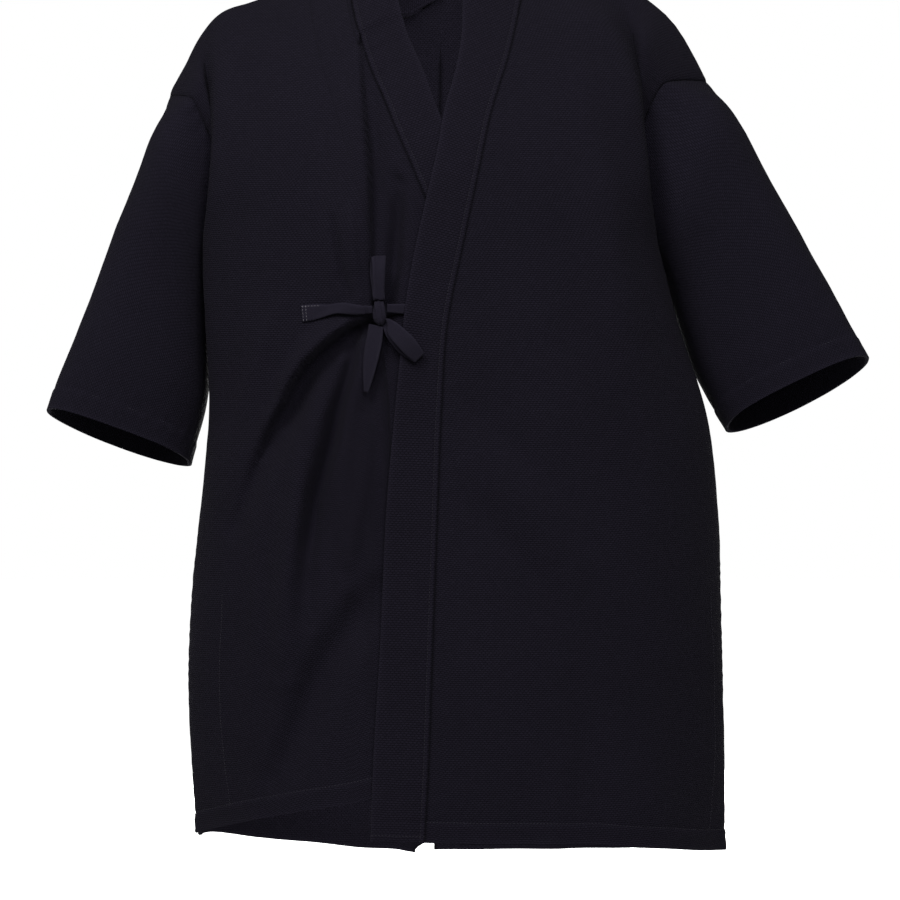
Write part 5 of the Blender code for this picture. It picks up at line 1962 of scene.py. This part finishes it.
@dataclass
class Bow:
    """Both ties, and the bow that they are tied in on the wearer's right front."""

    right: BodyHalf
    form: Form
    body_cloth: float = 0.0022
    tape_cloth: float = 0.0016
    gap: float = 0.0002
    nearby: float = 0.004
    along: int = 14
    across: int = 8
    knot: Place = Place(-0.0586, -0.3388)
    knot_lift: float = 0.0085
    knot_radii: tuple[float, float, float] = (0.0062, 0.0068, 0.0118)
    knot_corner: float = 2.6
    knot_fold: float = 0.09
    boxed: str = "tie_right"
    box: float = 0.019
    box_gap: float = 0.0032
    edge_in: float = 0.0014
    edge_wear: float = 0.35
    spacing: float = 0.0027
    stitch: float = 0.0023
    thread: float = 0.00017
    front: BVHTree = field(init=False)

    def __post_init__(self) -> None:
        """Keeps the cloth that the bow lies on."""
        points = self.right.laid.points[:self.right.shoulder + 1]
        self.front = ClothGrid(points).tree()

    def on_front(self, x: float, z: float) -> tuple[Vector, Vector]:
        """A place on the wearer's right front.

        Args:
            x: Place across.
            z: Height.

        Returns:
            The point of the cloth, and the way out of it.
        """
        point = self.front.ray_cast(Vector((x, -1.0, z)), Vector((0.0, 1.0, 0.0)))[0]
        chest = self.form.chest_point
        right = chest(x + self.nearby, z, Side.RIGHT) - chest(x - self.nearby, z, Side.RIGHT)
        up = chest(x, z + self.nearby, Side.RIGHT) - chest(x, z - self.nearby, Side.RIGHT)
        return point, right.cross(up).normalized()

    def tape(self, rows: Sequence[Tape]) -> ClothGrid:
        """The middle surface of one tape.

        Args:
            rows: Its places.

        Returns:
            Points across it, for each step along it.
        """
        places = (even(self.along),) * (len(rows) - 1)
        middle = spline([Vector((row.x, row.lift, row.z)) for row in rows], places)
        grid = []
        for i, place in enumerate(middle):
            at = i / self.along
            width = curve_at(range(len(rows)), [row.width for row in rows], at)
            roll = radians(curve_at(range(len(rows)), [row.roll for row in rows], at))
            ahead = middle[i] - middle[0] if i else middle[1] - middle[0]
            aside = Vector((ahead.z, 0.0, -ahead.x)).normalized()
            line = []
            for step in range(self.across + 1):
                off = width * (step / self.across - 0.5)
                x = place.x + aside.x * off * cos(roll)
                z = place.z + aside.z * off * cos(roll)
                point, out = self.on_front(x, z)
                stand = self.body_cloth / 2 + self.gap + self.tape_cloth / 2 + place.y + off * sin(roll)
                line.append(point + out * stand)
            grid.append(line)
        return ClothGrid.of(grid, 1)

    def build_tape(
        self, name: str, cloth: Material, thread: Material, pale: Material,
    ) -> Object:
        """Makes one tape, with its rounded edges and its stitches.

        Args:
            name: The tape's name.
            cloth: Its finish.
            thread: The finish of its stitches.
            pale: The finish of the stitches round the boxed end.

        Returns:
            The tape.
        """
        grid = self.tape(TAPES[name])
        if grid.normals()[0, 0, 1] > 0:
            grid = ClothGrid(grid.points, -1)
        inner, outer, far, _ = grid.distances()
        edge = np.minimum(inner, outer)
        share = mix(0.45, 1.0, rounded(edge / 0.0016))
        wear_and_painted_shade = self.edge_wear * np.exp(-edge / 0.001)
        grain = np.stack([inner, far], axis=2)
        piece = make_sheet(f"{name}_cloth", grid, grain, self.tape_cloth, share, wear_and_painted_shade)
        place_piece(piece, cloth, name)
        lines = self.stitch_lines(grid, name == self.boxed)
        stitching = Stitching(f"{name}_stitches", self.spacing, self.stitch, self.thread, lines=lines)
        stitches = place_piece(stitching.build(), pale if name == self.boxed else thread)
        return piece

    def stitch_lines(self, grid: ClothGrid, boxed: bool) -> list[np.ndarray]:
        """Where a tape is stitched: along one edge, or round the end that is sewn down.

        Args:
            grid: The tape.
            boxed: Whether its first end is sewn down.

        Returns:
            Points and ways out of each line, as the grid's line gives them.
        """
        lift = self.tape_cloth * TAPE_STITCH_LIFT
        inner, _, far, _ = grid.distances()
        if not boxed:
            return [grid.beside_edge(np.arange(len(inner)), self.edge_in, lift)]
        rows = np.flatnonzero(far.mean(axis=1) < self.box)
        last_is_up = grid.points[0, -1, 2] > grid.points[0, 0, 2]
        upper = inner[rows, -1] - self.edge_in if last_is_up else self.edge_in
        ends = [grid.beside_end(self.edge_in + gap, lift) for gap in (0.0, self.box_gap)]
        return [grid.beside_edge(rows, upper, lift)] + ends

    def build_knot(self, cloth: Material) -> Object:
        """Makes the knot: a small lump of wrapped tape with folds along the wrap.

        Args:
            cloth: Its finish.

        Returns:
            The knot.
        """
        point, out = self.on_front(*self.knot)
        centre = point + out * self.knot_lift
        deselect()
        bpy.ops.mesh.primitive_uv_sphere_add(segments=48, ring_count=32, radius=1.0, location=(0, 0, 0))
        piece = bpy.context.object
        piece.name = "bow_knot_cloth"
        for vertex in piece.data.vertices:
            way = vertex.co.normalized()
            size = sum(abs(part) ** self.knot_corner for part in way) ** (-1 / self.knot_corner)
            folds = self.knot_fold * sin(11 * way.x + 3.5 * way.z) * (1 - 0.6 * abs(way.z))
            size *= 1 + folds - 0.10 * way.z * way.x
            vertex.co = centre + Vector([
                part * size * radius for part, radius in zip(way, self.knot_radii)])
        piece.data.uv_layers[0].name = "grain"
        for loop in piece.data.uv_layers[0].data:
            loop.uv = (loop.uv[0] * 0.04, loop.uv[1] * 0.026)
        piece.data.attributes.new("wear_and_painted_shade", "FLOAT", "POINT")
        piece.data.shade_smooth()
        return place_piece(piece, cloth, "bow_knot")

    def build(
        self, cloth: Material, thread: Material, pale: Material,
    ) -> None:
        """Makes all the tapes and the knot.

        Args:
            cloth: The tapes' finish.
            thread: The finish of the stitches.
            pale: The finish of the stitches round the boxed end.
        """
        for name in TAPES:
            self.build_tape(name, cloth, thread, pale)
        self.build_knot(cloth)


@dataclass
class Studio:
    """A plain pale floor, a white backdrop, soft light, and the camera."""

    sensor: float = 36.0
    distance: float = 4.2
    centre_x: float = 0.0088
    centre_z: float = -0.4704
    seen: float = 0.882
    floor_z: float = -1.02
    floor_glow: float = 0.85
    ambient: float = 0.23
    aim: tuple[float, float, float] = (0.0, 0.0, -0.40)
    lamps: tuple[tuple[str, tuple[float, float, float], float, float], ...] = (
        ("key", (-1.2, -2.2, 1.7), 1.1, 83.0),
        ("front", (0.4, -2.7, 1.1), 1.2, 66.0),
        ("rear", (0.3, 3.2, -0.3), 1.2, 75.0),
    )
    inner_place: tuple[float, float, float] = (0.0, -0.035, -0.485)
    inner_size: tuple[float, float] = (0.28, 0.84)
    inner_power: float = 1.6

    def camera(self) -> None:
        """Creates the camera, level in front of the jacket."""
        data = bpy.data.cameras.new("camera")
        data.sensor_width = self.sensor
        data.lens = self.sensor * self.distance / self.seen
        data.clip_start = 0.05
        data.clip_end = 60.0
        camera = bpy.data.objects.new("camera", data)
        camera.location = (self.centre_x, -self.distance, self.centre_z)
        camera.rotation_euler = (pi / 2, 0.0, 0.0)
        bpy.context.scene.collection.objects.link(camera)
        bpy.context.scene.camera = camera

    def floor(self) -> None:
        """Creates the plain pale floor, bright enough to run into the backdrop."""
        deselect()
        bpy.ops.mesh.primitive_plane_add(size=28.0, location=(0.0, 0.0, self.floor_z))
        piece = bpy.context.object
        piece.name = "floor"
        bpy.ops.object.transform_apply(location=True)
        made, graph, shader = new_material("pale_floor")
        graph.fill(shader, {
            "Base Color": (0.9, 0.9, 0.9, 1.0),
            "Roughness": 0.9,
            "Emission Color": (1.0, 1.0, 1.0, 1.0),
            "Emission Strength": self.floor_glow,
        })
        piece.data.materials.append(made)
        piece.visible_diffuse = False

    def surroundings(self) -> None:
        """Creates the white backdrop, and the softer light that it gives."""
        world = bpy.data.worlds.new("studio")
        world.use_nodes = True
        graph = Graph(world.node_tree)
        seen = graph.add("ShaderNodeLightPath").outputs["Is Camera Ray"]
        strength = graph.math("MULTIPLY_ADD", seen, 1.0 - self.ambient, self.ambient)
        shade = world.node_tree.nodes["Background"]
        graph.fill(shade, {"Color": (1.0, 1.0, 1.0, 1.0), "Strength": strength})
        bpy.context.scene.world = world

    def lamp(self, name: str, place: tuple[float, float, float], power: float) -> Object:
        """Creates an area lamp.

        Args:
            name: The lamp's name.
            place: Where it stands.
            power: Its power in watts.

        Returns:
            The lamp, still facing down.
        """
        data = bpy.data.lights.new(name, "AREA")
        data.energy = power
        light = bpy.data.objects.new(name, data)
        light.location = place
        bpy.context.scene.collection.objects.link(light)
        return light

    def lights(self) -> None:
        """Creates the soft lamps around the jacket."""
        for name, place, size, power in self.lamps:
            light = self.lamp(name, place, power)
            light.data.size = size
            aim = Vector(self.aim) - light.location
            light.rotation_euler = aim.to_track_quat("-Z", "Y").to_euler()

    def inner_light(self) -> None:
        """Creates the weak lamp inside the jacket, which lights the back's inside."""
        light = self.lamp("inner", self.inner_place, self.inner_power)
        light.data.shape = "RECTANGLE"
        light.data.size, light.data.size_y = self.inner_size
        light.rotation_euler = (pi / 2, 0.0, 0.0)
        light.visible_camera = False

    def build(self) -> None:
        """Sets the whole stage."""
        self.camera()
        self.floor()
        self.surroundings()
        self.lights()
        self.inner_light()
        bpy.context.scene.view_settings.view_transform = "Standard"


def main() -> None:
    """Builds the jacket piece by piece, and the studio around it."""
    logging.basicConfig(level=logging.INFO, format="%(message)s")
    Studio().build()
    weave = rice_grain_group()
    dye = fading_group()
    finishes = {
        finish.name: finish.material(weave, dye)
        for finish in (INDIGO_BODY, INDIGO_SLEEVE, INDIGO_BAND, INDIGO_TAPE)
    }
    thread = INDIGO_THREAD.material()
    pale = PALE_THREAD.material()
    form = Form()
    halves = {side: BodyHalf(side, form) for side in Side}
    for half in halves.values():
        half.build(finishes["indigo_body"], thread)
        Sleeve(half).build(finishes["indigo_sleeve"], thread)
    BackSeam(halves[Side.LEFT], halves[Side.RIGHT]).build(finishes["indigo_body"], thread)
    CollarBand(halves[Side.LEFT], halves[Side.RIGHT], form).build(finishes["indigo_band"], thread)
    Bow(halves[Side.RIGHT], form).build(finishes["indigo_tape"], thread, pale)


if __name__ == "__main__":
    main()
